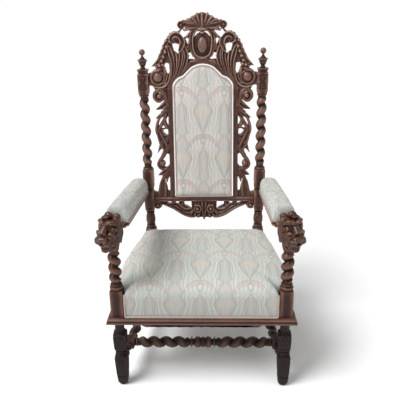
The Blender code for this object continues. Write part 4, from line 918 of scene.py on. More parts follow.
# %% Forms of the stiles and of the lower rail
stile_forms = [
    strand([(140.3, 540), (140.3, 800), (140.3, 1050)], [10.6, 10.6, 10.6], 12, "flat", 6, count=3),
    strand([(132.5, 540), (132.5, 1050)], [2.6, 2.6], 14.5, "round", 6, count=3),
    ground([(148, 1046), (212, 1048), (206, 1034), (180, 1030), (166, 1012), (160, 985), (148, 960)], 8),
    strand([(150, 968), (158, 992), (164, 1016), (182, 1031), (202, 1022), (207, 1002), (193, 986),
            (177, 991), (176, 1006)],
           [9.5, 10, 10, 9.5, 9, 8.5, 8, 7, 5], 15, "round", 6),
    boss(187, 1005, 12.5, 12.5, 20),
    strand([(150, 1005), (157, 978), (174, 962), (204, 949)], [6, 14, 13, 1.0], 15, "channel", 5),
    strand([(152, 960), (164, 945), (182, 938)], [6, 7, 2], 14),
    strand([(150, 950), (168, 931), (186, 921), (205, 912)], [6, 10, 9, 1.0], 14, "channel", 5),
    strand([(152, 946), (178, 928), (194, 904), (202, 878), (203, 856), (201, 836)],
           [5.5, 6.5, 6.4, 6.4, 7, 1.5], 14),
    strand([(152, 930), (168, 906), (184, 880), (198, 858)], [4, 8, 8, 7], 12, "round"),
    strand([(168, 912), (166, 890), (158, 876), (148, 868)], [4, 9, 8, 4], 14),
    strand([(200, 866), (193, 846), (184, 822), (172, 796), (162, 776)], [6, 11, 15, 18, 12], 16, "channel", 5),
    strand([(148, 842), (164, 838), (184, 842)], [7, 6, 6], 12, "round"),
    strand([(150, 828), (166, 812), (186, 806)], [9, 10, 7], 14, "leaf"),
    strand([(182, 806), (190, 784), (202, 761)], [9, 7, 1.0], 15, "leaf"),
    ground([(148, 872), (190, 866), (202, 846), (196, 812), (192, 786), (166, 762), (148, 752)], 9),
    strand([(150, 790), (168, 766), (177, 748), (190, 730), (199, 712), (192, 697), (178, 691), (160, 687)],
           [10, 11, 9, 8.5, 8, 8, 8, 9], 14, "round", 5),
    boss(183, 713, 15, 15, 17), strand([(168, 762), (176, 755), (186, 754)], [4, 4, 1], 12),
    strand([(152, 700), (166, 684), (182, 671), (202, 662)], [7, 11, 10, 1.0], 14, "channel", 5),
    strand([(152, 690), (164, 668), (176, 652), (186, 640)], [7, 11, 10, 5], 13, "round", 5),
    strand([(150, 676), (158, 655), (164, 640), (162, 630)], [5, 5, 5, 1.5], 12, "round"),
    ground([(182, 655), (190, 640), (199, 618), (205, 592), (205, 572), (224, 580), (224, 560), (148, 560),
            (148, 590), (160, 588), (164, 612), (168, 624), (178, 640)], 7),
    strand([(182, 652), (183, 625), (184, 598), (186, 566)], [4, 15, 19, 20], 12, "channel", 6),
    strand([(200, 600), (204, 575), (214, 562)], [3, 6, 6], 12),
]
stile_openings = [
    [(153, 866), (164, 868), (176, 860), (171, 848), (162, 841), (152, 841)],
    [(152, 738), (156, 742), (162, 731), (166, 729), (168, 720), (166, 708), (168, 701),
     (163, 697), (157, 702), (152, 712)],
    [(151, 588), (158, 590), (158, 625), (152, 662), (151, 662)],
]
rail_forms = [
    strand([(0, 552), (110, 552), (234, 552)], [9.5, 9.5, 9.5], 12, "flat", 6, count=3),
    strand([(0, 552), (234, 552)], [9, 9], 15, "flat", 9, count=3),
    ground([(0, 546), (192, 546), (196, 530), (176, 526), (150, 517), (120, 499), (92, 481), (70, 471), (60, 463),
            (48, 463), (40, 468), (26, 464), (10, 467), (0, 459)], 6),
    strand([(192, 532), (168, 524), (142, 513), (118, 499), (92, 483), (66, 473), (48, 470)],
           [4, 6, 7, 7.5, 8, 7.5, 5], 13),
    strand([(176, 540), (150, 527), (122, 517), (98, 500), (74, 489), (50, 492)], [3, 5, 6, 7, 8, 6], 12),
    strand([(134, 545), (116, 536), (100, 518), (84, 508), (62, 508)], [4, 6, 8, 8, 5], 13),
    boss(30, 508, 23, 22, 8, "flat"), scroll(30, 508, 18, 13, 1.0, 60, 1, 6.5, 16, "round", 7),
    boss(30, 508, 11, 11, 18),
    strand([(52, 496), (60, 484), (58, 466)], [8, 8, 3], 12),
    strand([(34, 492), (42, 478), (46, 466)], [7, 8, 3], 12),
    strand([(20, 488), (26, 476), (28, 465)], [7, 8, 3], 12),
    strand([(0, 548), (0, 505), (0, 460)], [14, 11, 4], 15, "channel", 6),
    strand([(12, 545), (28, 536), (50, 532)], [6, 7, 4], 12, "leaf"),
    strand([(92, 546), (97, 532), (96, 518)], [4, 5, 4], 12),
    strand([(222, 578), (208, 566), (194, 548), (190, 534)], [10, 12, 9, 5], 13, "leaf"),
    boss(208, 528, 20, 22, 10, "flat"), scroll(208, 526, 15.5, 12, 1.0, 110, -1, 5.5, 16, "round", 8),
    boss(208, 525, 10.5, 10.5, 18),
    strand([(216, 560), (234, 556)], [20, 24], 9, "flat"),
]
rail_openings = [
    [(57, 543), (90, 543), (88, 524), (76, 519), (66, 513), (54, 504), (57, 521)],
    [(110, 543), (130, 543), (127, 531), (118, 528)],
    [(143, 543), (167, 543), (162, 533), (151, 530)],
]
back_forms = crest_forms + stile_forms + rail_forms
back_openings = crest_openings + stile_openings + rail_openings
print("stiles and rail:", len(stile_forms) + len(rail_forms), "carved forms")


# %% [markdown]
# ## From the drawing to carved wood
# A grid of points is laid over a part of the drawing. Squares whose corners all lie off the
# wood are thrown away, and corners just outside it are moved onto the outline, along the
# slope of the inside distance, so that the sawn edge is smooth. The front takes its
# heights from the drawing, the back is flat, and a wall joins them along the edge. At
# last the board is leaned back with the rake of the posts.


# %% Carve a part of the back
CARVED_BACK = 0.014
CREST_LOW, CREST_TOP, CREST_REACH = 1036.9, 1342.5, 232.0
STILE_LOW, STILE_TOP, STILE_INNER, STILE_OUTER = 561.4, 1036.5, 127.0, 226.0
RAIL_LOW, RAIL_TOP = 458.0, 561.0


def limits_at(x, z, low, high):
    """Distance inside the part's own limits: its joints, the panel opening and the faces of the posts."""
    post = (BACK_SPACING / 2 + SPLAY * (z / 1000 - BACK_BEND) - POST_SQUARE / 2) * 1000 - 0.4
    clear = -polygon_inside(np.abs(x), z, panel_shape) - 1.2
    return np.minimum.reduce([z - low, high - z, post - np.abs(x), clear])


def carved_board(low, high, low_x, high_x, cell=1.4):
    """Skin of the pierced board between two heights and two distances across, all in mm."""
    count_x = math.ceil((high_x - low_x) / cell) + 1
    count_z = math.ceil((high - low) / cell) + 3
    x, z = np.meshgrid(np.linspace(low_x, high_x, count_x), low - cell + np.arange(count_z) * cell, indexing="xy")
    x, z = x.ravel(), z.ravel()

    def inside_at(px, pz):
        return np.minimum(drawing_at(back_forms, back_openings, px, pz)[0], limits_at(px, pz, low, high))

    inside = inside_at(x, z)
    quads = grid_quads(count_z, count_x)
    within = (inside > 0)[quads]
    kept = within.sum(1) >= 2
    kept &= inside[quads].min(1) > -2.2 * cell
    quads = quads[kept]
    used = np.unique(quads)
    border = used[inside[used] <= 0.25]
    for _ in range(3):
        px, pz = x[border], z[border]
        here = inside_at(px, pz)
        slope_x = (inside_at(px + 0.15, pz) - inside_at(px - 0.15, pz)) / 0.3
        slope_z = (inside_at(px, pz + 0.15) - inside_at(px, pz - 0.15)) / 0.3
        steep = np.maximum(np.hypot(slope_x, slope_z), 0.35)
        move = np.clip(-here / steep, -cell, cell)
        x[border] += move * slope_x / steep
        z[border] += move * slope_z / steep
    height = drawing_at(back_forms, back_openings, x[used], z[used])[1]
    number = np.full(len(x), -1)
    number[used] = np.arange(len(used))
    quads = number[quads]
    ends = quads[:, [0, 1, 1, 2, 2, 3, 3, 0]].reshape(-1, 2)
    key = np.sort(ends, axis=1)
    _, back_to, tally = np.unique(key, axis=0, return_inverse=True, return_counts=True)
    rim = ends[tally[back_to.ravel()] == 1]
    x, z = x[used] / 1000, z[used] / 1000
    lean = back_y(z)
    front = np.column_stack([x, lean - height / 1000, z])
    rear = np.column_stack([x, lean + CARVED_BACK, z])
    total = len(x)
    wall = np.column_stack([rim[:, 1], rim[:, 0], rim[:, 0] + total, rim[:, 1] + total])
    return np.vstack([front, rear]), [quads, quads[:, ::-1] + total, wall]


wooden("carved_crest_rail", [carved_board(CREST_LOW, CREST_TOP, -CREST_REACH, CREST_REACH)], crest_walnut,
       ["crest_rail"], rounds=30, crease=50)
for side, word in ((-1, "left"), (1, "right")):
    low_x, high_x = sorted((side * STILE_INNER, side * STILE_OUTER))
    wooden(f"carved_stile_{word}", [carved_board(STILE_LOW, STILE_TOP, low_x, high_x)], stile_walnut,
           [f"back_stile_{word}"], rounds=30, crease=50)
wooden("carved_lower_rail", [carved_board(RAIL_LOW, RAIL_TOP, -STILE_OUTER, STILE_OUTER)], level_walnut,
       ["lower_back_rail"], rounds=30, crease=50)

# %% [markdown]
# ## Woven tapestry
# The cloth is a cotton and wool jacquard in pale sage, cream and faded rose. Its pattern
# is a traditional one, upright medallions in an ogee lattice: columns stand 90.5 mm apart,
# each is repeated every 400 mm, and every second column drops by half a repeat. In the
# shader a column is folded at its middle, and two curves give the half width of the
# medallion and of the band round it at each height, as a weaver's point paper does.
# The threads are 0.8 mm apart, drawn 1.6 mm apart so that their ribs can be seen.


# %% Tapestry
COLUMN = 0.0905
REPEAT = 0.400
STEP = 0.0032
THREAD = 0.0016
LADDER, CHEVRON = 0.010, 0.0105
EYE_WIDE, EYE_HIGH = 0.0085, 0.0135
MEDALLION = 0.046


def tapestry(name, eye_u, eye_v, ground=("#d1d6d1", "#d6d6d2"), soiled_and_shaded_below=0.0):
    """The cloth, with an eye of its pattern at a place of the piece's cloth map, in metres.

    In a column, wide = distance across / half width of the medallion. Below a height it is darker, partly from grime
    and partly as painted shade.
    """
    made, shader, node = new_material(name)
    place = node("UVMap", uv_map="cloth")
    wave = node("TexNoise", place, Scale=40.0, Detail=2.0)
    shake = node("Math", wave, 0.0024, -0.0012, operation="MULTIPLY_ADD")
    across = node("SeparateXYZ", place, out="X")
    upward = node("SeparateXYZ", place, out="Y")
    u = node("Math", node("Math", across, eye_u, operation="SUBTRACT"), shake, operation="ADD")
    v = node("Math", eye_v, node("Math", upward, shake, operation="ADD"), operation="SUBTRACT")
    weft = node("Math", node("Math", u, TAU / THREAD, operation="MULTIPLY"), operation="SINE")
    warp = node("Math", node("Math", v, TAU / THREAD, operation="MULTIPLY"), operation="SINE")
    threads = node("Math", weft, warp, operation="ADD")
    ladder = node("Math", node("Math", v, TAU / LADDER, operation="MULTIPLY"), operation="SINE")
    colour = node("Mix", node("MapRange", wave, 0.3, 0.7), *ground, data_type="RGBA")
    for shift in (0.0, 1.0):
        x = node("Math", node("Math", u, COLUMN * shift, operation="ADD"), COLUMN, operation="PINGPONG")
        stepped = node("Math", v, STEP, operation="SNAP")
        repeats = node("Math", stepped, 1 / REPEAT, 0.5 * shift + 40.0, operation="MULTIPLY_ADD")
        drop = node("Math", repeats, operation="FRACT")
        inner = node("FloatCurve", 1.0, drop, curve=(
            (0, 0), (1, 0), (0.105, 0), (0.125, .20), (0.15, .34), (0.19, .40), (0.30, .40), (0.37, .46), (0.42, .56),
            (0.455, .22), (0.50, .42), (0.56, .68), (0.60, .52), (0.64, .60), (0.70, .88), (0.745, .60), (0.80, .44),
            (0.86, .26), (0.90, .05), (0.93, 0)))
        outer = node("FloatCurve", 1.0, drop, curve=(
            (0, 0), (1, 0), (0.07, 0), (0.11, .34), (0.15, .60), (0.22, .72), (0.30, .74), (0.37, .92), (0.42, .80),
            (0.50, .78), (0.56, 1.0), (0.62, .88), (0.70, 1.0), (0.76, .84), (0.82, .62), (0.90, .28), (0.935, 0)))
        wide = node("Math", x, 1 / MEDALLION, operation="MULTIPLY")
        to_inner = node("Math", wide, inner, operation="SUBTRACT")
        to_outer = node("Math", wide, outer, operation="SUBTRACT")
        contour = node("Math", node("Math", to_outer, TAU * 8.0, operation="MULTIPLY"), operation="COSINE")
        broad = node("Math", node("Math", to_outer, TAU * 3.1, 1.6, operation="MULTIPLY_ADD"), operation="COSINE")
        inside = node("MapRange", to_inner, 0.03, -0.03)
        beyond = node("MapRange", to_outer, -0.02, 0.05)
        near = node("MapRange", to_outer, 1.05, 0.75)
        rungs = node("Math", ladder, 0.22, 0.50, operation="MULTIPLY_ADD")
        fill = node("ValToRGB", drop, stops=(
            (0.0, "#cdbdb4"), (1.0, "#c6bcb2"), (0.2, "#cdb5af"), (0.34, "#b1b8ba"), (0.46, "#b4b9b1"),
            (0.52, "#cdb9af"), (0.60, "#a9b2b6"), (0.67, "#d6c0a8"), (0.74, "#d0b9ad"), (0.80, "#b7bdb8")))
        from_eye = node("Math", node("Math", drop, 0.5, operation="PINGPONG"), REPEAT / EYE_HIGH, operation="MULTIPLY")
        beside_eye = node("Math", x, 1 / EYE_WIDE, operation="MULTIPLY")
        eye = node("VectorMath", node("CombineXYZ", beside_eye, from_eye), operation="LENGTH", out="Value")
        half_on = node("Math", node("Math", drop, 0.5, operation="ADD"), operation="FRACT")
        level = node("Math", half_on, 0.5, operation="SUBTRACT")
        height = node("Math", level, REPEAT, 0.027, operation="MULTIPLY_ADD")
        fall = node("Math", node("Math", x, x, operation="MULTIPLY"), -10.5, height, operation="MULTIPLY_ADD")
        short = node("MapRange", x, 0.064, 0.058)
        wing = node("Math", node("MapRange", fall, 0.0, 0.002), node("MapRange", fall, 0.024, 0.020),
                    operation="MULTIPLY")
        lattice = node("Math", node("Math", beyond, near, operation="MULTIPLY"), node("MapRange", contour, 0.2, 0.9),
                       operation="MULTIPLY")
        slanted = node("Math", node("Math", x, 0.9, v, operation="MULTIPLY_ADD"), TAU / CHEVRON, operation="MULTIPLY")
        chevron = node("MapRange", node("Math", slanted, operation="SINE"), 0.45, 0.95)
        band = node("Math", node("MapRange", to_outer, 0.0, -0.04), inside, operation="SUBTRACT", use_clamp=True)
        bands = node("Math", beyond, node("MapRange", broad, 0.35, 0.85), operation="MULTIPLY")
        layers = [(bands, 0.34, "#b2a9a4"), (lattice, 0.36, "#a3aea4"),
                  (node("Math", band, chevron, operation="MULTIPLY"), 0.42, "#a5aca6"),
                  (node("MapRange", to_outer, 0.02, -0.02), 0.22, "#b4beb5"),
                  (node("Math", inside, rungs, operation="MULTIPLY"), 0.78, fill),
                  (node("Math", inside, chevron, operation="MULTIPLY"), 0.30, "#9aa09c"),
                  (node("Math", wing, short, operation="MULTIPLY"), 0.62, "#ccb5ae")]
        for measure, shifted, thick, strength, code in (
                (to_outer, 0.0, 0.085, 0.50, "#e0ded8"), (to_outer, 0.12, 0.05, 0.6, "#98a39b"),
                (to_outer, -0.10, 0.045, 0.5, "#a0a8a2"), (to_inner, 0.0, 0.055, 0.6, "#8d9491"),
                (to_inner, 0.16, 0.04, 0.5, "#b08f88"), (eye, -1.0, 0.25, 0.6, "#949d98")):
            distance = node("Math", measure, shifted, operation="ADD")
            size = node("Math", distance, operation="ABSOLUTE")
            layers.append((node("MapRange", size, thick, thick * 0.45), strength, code))
        edge = node("MapRange", node("Math", fall, operation="ABSOLUTE"), 0.0024, 0.0010)
        layers.append((node("Math", edge, short, operation="MULTIPLY"), 0.6, "#98948f"))
        layers.append((node("MapRange", eye, 0.8, 0.6), 0.6, "#dcd8ce"))
        for mask, strength, code in layers:
            share = node("Math", mask, strength, operation="MULTIPLY")
            colour = node("Mix", share, colour, code, data_type="RGBA")
    # Below a height the cloth darkens: grime from shoes and painted shade on the seat's front and sides.
    height = node("SeparateXYZ", node("TexCoord", out="Object"), out="Z")
    soiled_and_shaded = node("Math", node("MapRange", height, soiled_and_shaded_below, soiled_and_shaded_below - 0.045), 0.34, operation="MULTIPLY")
    colour = node("Mix", soiled_and_shaded, colour, "#7d7a73", data_type="RGBA")
    shade = node("Math", threads, 0.04, 0.08, operation="MULTIPLY_ADD")
    toned = node("Mix", shade, colour, "#8a8e88", data_type="RGBA")
    bump = node("Bump", Strength=0.5, Distance=0.0004, Height=threads)
    connect(shader, Base_Color=toned, Normal=bump, Roughness=0.88, Specular_IOR_Level=0.25, Sheen_Weight=0.15,
            Sheen_Roughness=0.5)
    return made


def gimp_finish():
    """Rose braid glued over the tacks: twisted cords under 3 mm apart, with a soft shine."""
    made, shader, node = new_material("rose_gimp_braid")
    place = node("TexCoord", out="Object")
    cords = node("TexWave", place, wave_type="BANDS", bands_direction="DIAGONAL", Scale=130.0, Distortion=2.0,
                 out="Fac")
    faded = node("Math", node("TexNoise", place, Scale=60.0, Detail=2.0), 0.4, operation="MULTIPLY")
    colour = node("Mix", cords, "#94817a", "#b0a099", data_type="RGBA")
    colour = node("Mix", faded, colour, "#c9beb4", data_type="RGBA")
    bump = node("Bump", Strength=0.6, Distance=0.0006, Height=cords)
    connect(shader, Base_Color=colour, Normal=bump, Roughness=0.8, Sheen_Weight=0.05)
    return made


# One cloth with three places of its pattern: darker low on the seat from grime and painted shade, pinker and cleaner
# on the back.
seat_cloth = tapestry("woven_tapestry_seat", -0.004, SHIFT + 0.005, soiled_and_shaded_below=0.412)
back_cloth = tapestry("woven_tapestry_back", 0.0, 0.823, ("#e8e0dc", "#eee5df"))
arm_cloth = tapestry("woven_tapestry_arms", 0.0, SHIFT + 0.16)
gimp = gimp_finish()
print("pattern columns", COLUMN * 1000, "mm apart, repeated every", REPEAT * 1000, "mm")

# %% [markdown]
# ## Stuffing a cushion
# A tight seat is webbing, horsehair and cloth pulled over them. Each pad starts as a
# plain loft a little smaller than the finished one. It is remeshed evenly, blown up by a
# cloth simulation with no gravity, held within a few millimetres of its start, and then
# smoothed by one subdivision, so that it swells between its edges as stuffed cloth does.
# The cloth map comes after that, because remeshing removes it.


# %% Cushion helpers
def stuff(mesh, voxel, limit, free=None, pressure=4.0, frames=20):
    """Remesh a closed pad, inflate it as cloth, and hold every point within a limit of its start.

    free gives the share of the movement each point may keep: 0 where the cloth is tacked to the frame.
    """
    bag = placed("stuffing", mesh)
    even = bag.modifiers.new("even", "REMESH")
    even.mode = "VOXEL"
    even.voxel_size = voxel
    graph = bpy.context.evaluated_depsgraph_get()
    start_mesh = bpy.data.meshes.new_from_object(bag.evaluated_get(graph))
    bag.modifiers.clear()
    bag.data = start_mesh
    start = rows_of(start_mesh.vertices, "co", 3).astype(float)
    moved = start.copy()
    cloth = bag.modifiers.new("cloth", "CLOTH")
    cloth.settings.use_pressure = True
    cloth.settings.uniform_pressure_force = pressure
    cloth.settings.effector_weights.gravity = 0.0
    cloth.settings.quality = 5
    cloth.collision_settings.use_collision = False
    scene = bpy.context.scene
    for step in range(1, frames + 1):
        scene.frame_set(step)
    blown = bag.evaluated_get(bpy.context.evaluated_depsgraph_get()).to_mesh()
    moved = rows_of(blown.vertices, "co", 3).astype(float)
    bag.evaluated_get(bpy.context.evaluated_depsgraph_get()).to_mesh_clear()
    scene.frame_set(1)
    bag.modifiers.clear()
    shift = moved - start
    far = np.linalg.norm(shift, axis=1, keepdims=True)
    kept = np.minimum(1, limit / np.maximum(far, 1e-9))
    if free is not None:
        kept *= np.clip(free(start), 0, 1)[:, None]
    start_mesh.vertices.foreach_set("co", (start + shift * kept).astype(np.float32).ravel())
    finer = bag.modifiers.new("finer", "SUBSURF")
    finer.levels = finer.render_levels = 1
    soft = bpy.data.meshes.new_from_object(bag.evaluated_get(bpy.context.evaluated_depsgraph_get()))
    bpy.data.objects.remove(bag, do_unlink=True)
    print("cushion swelled by up to", round(float(far.max()) * 1000, 1), "mm,", len(soft.vertices), "points")
    return soft


def cloth_map(mesh, to_map):
    """Give a mesh its cloth map: to_map turns corner points and face normals to (u, v) in metres."""
    at = rows_of(mesh.vertices, "co", 3)[rows_of(mesh.loops, "vertex_index", 1, np.int32)[:, 0]]
    sizes = rows_of(mesh.polygons, "loop_total", 1, np.int32)[:, 0]
    facing = np.repeat(rows_of(mesh.polygons, "normal", 3), sizes, axis=0)
    layer = mesh.uv_layers.new(name="cloth")
    layer.data.foreach_set("uv", np.column_stack(to_map(at, facing)).astype(np.float32).ravel())


def padded_piece(name, mesh, finish, node):
    """A stuffed piece set on the frame in place of its plain solid."""
    piece = finish_piece(name, mesh, finish, [node], rounds=0, crease=180)
    return piece


# %% [markdown]
# ## The seat
# The seat is sprung and overstuffed: nearly upright walls of cloth rise from the moulding,
# roll over a soft edge and meet in a low dome. At the front corners the cloth is cut round
# the square blocks of the legs.


# %% Seat
MOULDING_TOP = FRAME_BOTTOM + MOULDING_HIGH
FRONT_INNER = FRONT_SPACING / 2 - FRONT_SQUARE / 2
FRONT_OUTER = FRONT_SPACING / 2 + FRONT_SQUARE / 2
BACK_OUTER = BACK_SPACING / 2 + POST_SQUARE / 2
EDGE_HIGH = 0.409
CLOTH_GAP = 0.0022
CROWN_HIGH = 0.449


def seat_side(depth):
    """X of the outside of the seat cloth at a depth."""
    share = (depth + FRONT_FACE) / (BACK_FACE + FRONT_FACE)
    return FRONT_OUTER + (BACK_OUTER - FRONT_OUTER) * share + 0.0035


def rounded(corners, radius, per=7):
    """A closed outline with each corner replaced by a short curve of a radius."""
    corners = np.asarray(corners, float)
    radius = np.broadcast_to(radius, len(corners))
    made = []
    for before, here, after, reach in zip(np.roll(corners, 1, 0), corners, np.roll(corners, -1, 0), radius):
        first, last = before - here, after - here
        first, last = (v / np.linalg.norm(v) * min(reach, 0.45 * np.linalg.norm(v)) for v in (first, last))
        share = np.linspace(0, 1, per)[:, None]
        made.append((here + first) * (1 - share) ** 2 + 2 * here * share * (1 - share) + (here + last) * share ** 2)
    return np.vstack(made)


def even_outline(corners, count):
    """The same closed outline with points at equal steps."""
    closed = np.vstack([corners, corners[:1]])
    length = np.concatenate([[0], np.cumsum(np.linalg.norm(np.diff(closed, axis=0), axis=1))])
    places = np.linspace(0, length[-1], count, endpoint=False)
    return np.column_stack([np.interp(places, length, closed[:, k]) for k in range(2)])


def seat_rings():
    """Rings of the seat: the notched outline going up, drawn in and rounded off over the dome."""
    notch, rear = -FRONT_FACE + CLOTH_GAP, BACK_FACE - CLOTH_GAP
    inner, front = FRONT_INNER - CLOTH_GAP, FRONT_FACE - 0.0036
    half = [(inner, front), (inner, notch), (seat_side(notch), notch), (seat_side(rear), rear)]
    corners = np.array(half + [(-x, y) for x, y in reversed(half)])
    sharp = even_outline(rounded(corners, [0.008, 0.004, 0.010, 0.012] + [0.012, 0.010, 0.004, 0.008]), 420)
    soft = even_outline(rounded(corners, [0.05, 0.03, 0.05, 0.05] + [0.05, 0.05, 0.03, 0.05], 12), 420)
    soft = soft[np.argmin(np.linalg.norm(soft[None] - sharp[:, None], axis=2), axis=1)]
    centre = np.array([0.0, SEAT_DEPTH * 0.49])
    rings = []
    swell = np.clip((sharp[:, 1] - notch - 0.01) / 0.16, 0, 1) * np.clip((rear + 0.06 - sharp[:, 1]) / 0.2, 0, 1)
    swell = swell * (np.abs(sharp[:, 0]) > 0.24) * np.sign(sharp[:, 0])
    for height, draw, melt in (
            (MOULDING_TOP + 0.0015, 0.000, 0), (0.330, 0.000, 0), (0.360, -0.0010, 0), (0.385, -0.0005, 0),
            (0.396, 0.004, 0), (EDGE_HIGH - 0.004, 0.010, 0.1), (EDGE_HIGH + 0.002, 0.022, 0.25),
            (0.420, 0.045, 0.5), (0.430, 0.090, 0.8), (0.438, 0.150, 1), (0.444, 0.215, 1),
            (CROWN_HIGH - 0.002, 0.27, 1)):
        outline = sharp + (soft - sharp) * melt
        ring = centre + (outline - centre) * (1 - draw / np.array([0.30, 0.28]))
        square_back = np.clip((outline[:, 1] - SEAT_DEPTH * 0.75) / (SEAT_DEPTH * 0.18), 0, 1) * 0.6
        ring += (outline - ring) * square_back[:, None]
        fuller = np.interp(height, [0.315, 0.365, 0.40, 0.43, 0.45], [0.0, 0.010, 0.014, 0.010, 0.0])
        ring[:, 0] += swell * fuller
        lift = np.abs(swell) * np.interp(draw, [0, 0.01, 0.1, 0.27], [0, 0.013, 0.006, 0])
        rings.append(np.column_stack([ring, height + lift]))
    return rings


CLOTH_WALL, WALL_SLOPE = 0.0035, 0.0025


def hollow_foot(mesh, to_depth, ceiling):
    """Lift the underside of a stuffed piece to a ceiling, leaving only a thin wall of cloth at its rim.

    to_depth gives how far each point is inside the rim. The share lifted is 0 within the wall and
    1 where the slope above it has ended: (depth - wall) / slope.
    """
    points = rows_of(mesh.vertices, "co", 3)
    share = np.clip((to_depth(points) - CLOTH_WALL) / WALL_SLOPE, 0, 1)
    roof = ceiling(points)
    lifted = points[:, 2] + (roof - points[:, 2]) * share
    points[:, 2] = np.where(points[:, 2] < roof, np.maximum(points[:, 2], lifted), points[:, 2])
    mesh.vertices.foreach_set("co", points.ravel())
    mesh.update()


def inside_seat(points):
    """How far each point is inside the foot of the seat, measured to its outline."""
    foot = np.asarray(seat_rings()[0])[:, :2] + (0.0, SHIFT)
    ahead_point = np.roll(foot, -1, 0)
    found = np.full(len(points), 1.0)
    for start, end in zip(foot, ahead_point):
        along = end - start
        share = np.clip(((points[:, :2] - start) @ along) / (along @ along), 0, 1)
        found = np.minimum(found, np.linalg.norm(points[:, :2] - start - share[:, None] * along, axis=1))
    return found


def seat_map(at, facing):
    """The cloth runs over the edges: below the edge a point moves on by how far it has dropped."""
    drop = np.minimum(at[:, 2] - EDGE_HIGH, 0)
    sideways = np.abs(facing[:, 0]) > np.maximum(np.abs(facing[:, 1]), 0.35)
    front = np.where(at[:, 1] < SHIFT + 0.25, 1, -1)
    u = np.where(sideways, at[:, 0] - np.sign(at[:, 0]) * drop, at[:, 0])
    v = np.where(sideways, at[:, 1], at[:, 1] + drop * front)
    return u, v


SEAT_ROOF = FRAME_BOTTOM + 0.0645
seat_mesh = stuff(mesh_of("seat_pad", [skin_of_rings(seat_rings())]), 0.0066, 0.006,
                  lambda points: (points[:, 2] - SEAT_ROOF) / 0.03)
hollow_foot(seat_mesh, inside_seat, lambda points: np.full(len(points), SEAT_ROOF))
cloth_map(seat_mesh, seat_map)
padded_piece("seat_cushion", seat_mesh, seat_cloth, "seat_pad")

# %% [markdown]
# ## The panel of the back and the arm pads
# The back panel is stuffed from the front into its carved opening, and the same cloth
# runs round behind it. The arm pads are firm rolls nailed along the arm boards, cut square
# behind the lions' manes.


# %% Back panel and arm pads
PANEL_FRONT = 0.014


def panel_rings():
    """Rings of the back panel: the opening's outline, going forwards and drawn in over the crown."""
    opening = np.vstack([arch_line, arch_line[::-1][1:] * (-1, 1), [(-127.0, 563.5), (127.0, 563.5)]])
    outline = even_outline(rounded(opening * 0.001, 0.003, 3), 300)
    outline[:, 1] = np.maximum(outline[:, 1], 0.5632)
    centre = np.array([0.0, 0.84])
    rings = []
    for ahead_by, draw in ((-0.0105, 0.016), (-0.0095, 0.006), (-0.007, 0.0022), (0.010, 0.0018),
                           (PANEL_FRONT, 0.0030), (0.0185, 0.0065), (0.0215, 0.013),
                           (0.0235, 0.024), (0.0245, 0.045), (0.0252, 0.080), (0.0255, 0.11)):
        ring = centre + (outline - centre) * (1 - draw / np.array([0.128, 0.285]))
        rings.append(np.column_stack([ring[:, 0], back_y(ring[:, 1]) - ahead_by, ring[:, 1]]))
    return rings


panel_mesh = stuff(mesh_of("back_pad", [skin_of_rings(panel_rings())]), 0.005, 0.0025)
cloth_map(panel_mesh, lambda at, facing: (at[:, 0], at[:, 2]))
padded_piece("back_cushion", panel_mesh, back_cloth, "back_pad")


def arm_low(depth):
    """Height of the underside of an arm, which falls towards the back."""
    return ARM_HIGH - ARM_FALL * depth


ARM_BOARD = 0.013
ARM_WIDE = 0.0390
PAD_LIFT = 0.0015
ARM_END = float(back_y(arm_low(SEAT_DEPTH))) - POST_SQUARE / 2


def arm_roll(side):
    """Rings of an arm pad: upright sides, a domed top and a square front, along the falling arm."""
    section = rounded([(-0.0385, 0.0105), (0.0385, 0.0105), (0.0385, 0.052), (0.027, 0.074), (0.0, 0.079),
                       (-0.027, 0.074), (-0.0385, 0.052)], [0.002, 0.002, 0.022, 0.022, 0.03, 0.022, 0.022], 9)
    section = even_outline(section, 110)
    middle = np.array([0.0, 0.040])
    rings = []
    for depth, size in ((0.0042, 0.66), (0.0044, 0.88), (0.0058, 0.955), (0.009, 0.985), (0.016, 1.0),
                        (0.1, 1.0), (0.2, 1.0), (0.3, 1.0), (0.4, 1.0),
                        (ARM_END - 0.018, 1.0), (ARM_END - 0.008, 0.97), (ARM_END - 0.003, 0.90)):
        ring = middle + (section - middle) * size
        across, up = ring.T
        rings.append(np.column_stack([side * ARM_SPREAD + across, np.full(len(ring), depth), arm_low(depth) + up]))
    return rings


def arm_map(side):
    """The cloth runs round the roll: u is the angle times the radius, and v runs along the arm.

    On the front end it hangs down flat, so there u is the way across and v falls with the height.
    """
    def to_map(at, facing):
        middle = arm_low(at[:, 1] - SHIFT) + ARM_BOARD + 0.030
        away = at[:, 0] - side * ARM_SPREAD
        angle = np.arctan2(away, at[:, 2] - middle)
        front = facing[:, 1] < -0.6
        return np.where(front, away, angle * 0.037), np.where(front, at[:, 1] + at[:, 2] - middle - 0.036, at[:, 1])
    return to_map


for side, word in ((-1, "left"), (1, "right")):
    roll_mesh = stuff(mesh_of(f"arm_pad_{word}", [skin_of_rings(arm_roll(side))]), 0.005, 0.0025,
                      lambda points: (points[:, 2] - arm_low(points[:, 1] - SHIFT) - ARM_BOARD - PAD_LIFT) / 0.012)
    hollow_foot(roll_mesh, lambda points: ARM_WIDE - np.abs(points[:, 0] - side * ARM_SPREAD),
                lambda points: arm_low(points[:, 1] - SHIFT) + ARM_BOARD + PAD_LIFT)
    cloth_map(roll_mesh, arm_map(side))
    padded_piece(f"arm_cushion_{word}", roll_mesh, arm_cloth, f"arm_pad_{word}")

# %% [markdown]
# ## Gimp
# A narrow braid hides the tacks wherever cloth meets show wood: along the foot of the
# seat and beside the blocks, round the back panel, and along the arm boards. It is a
# flat oval section carried along a path, with small waves in its width for the loops.


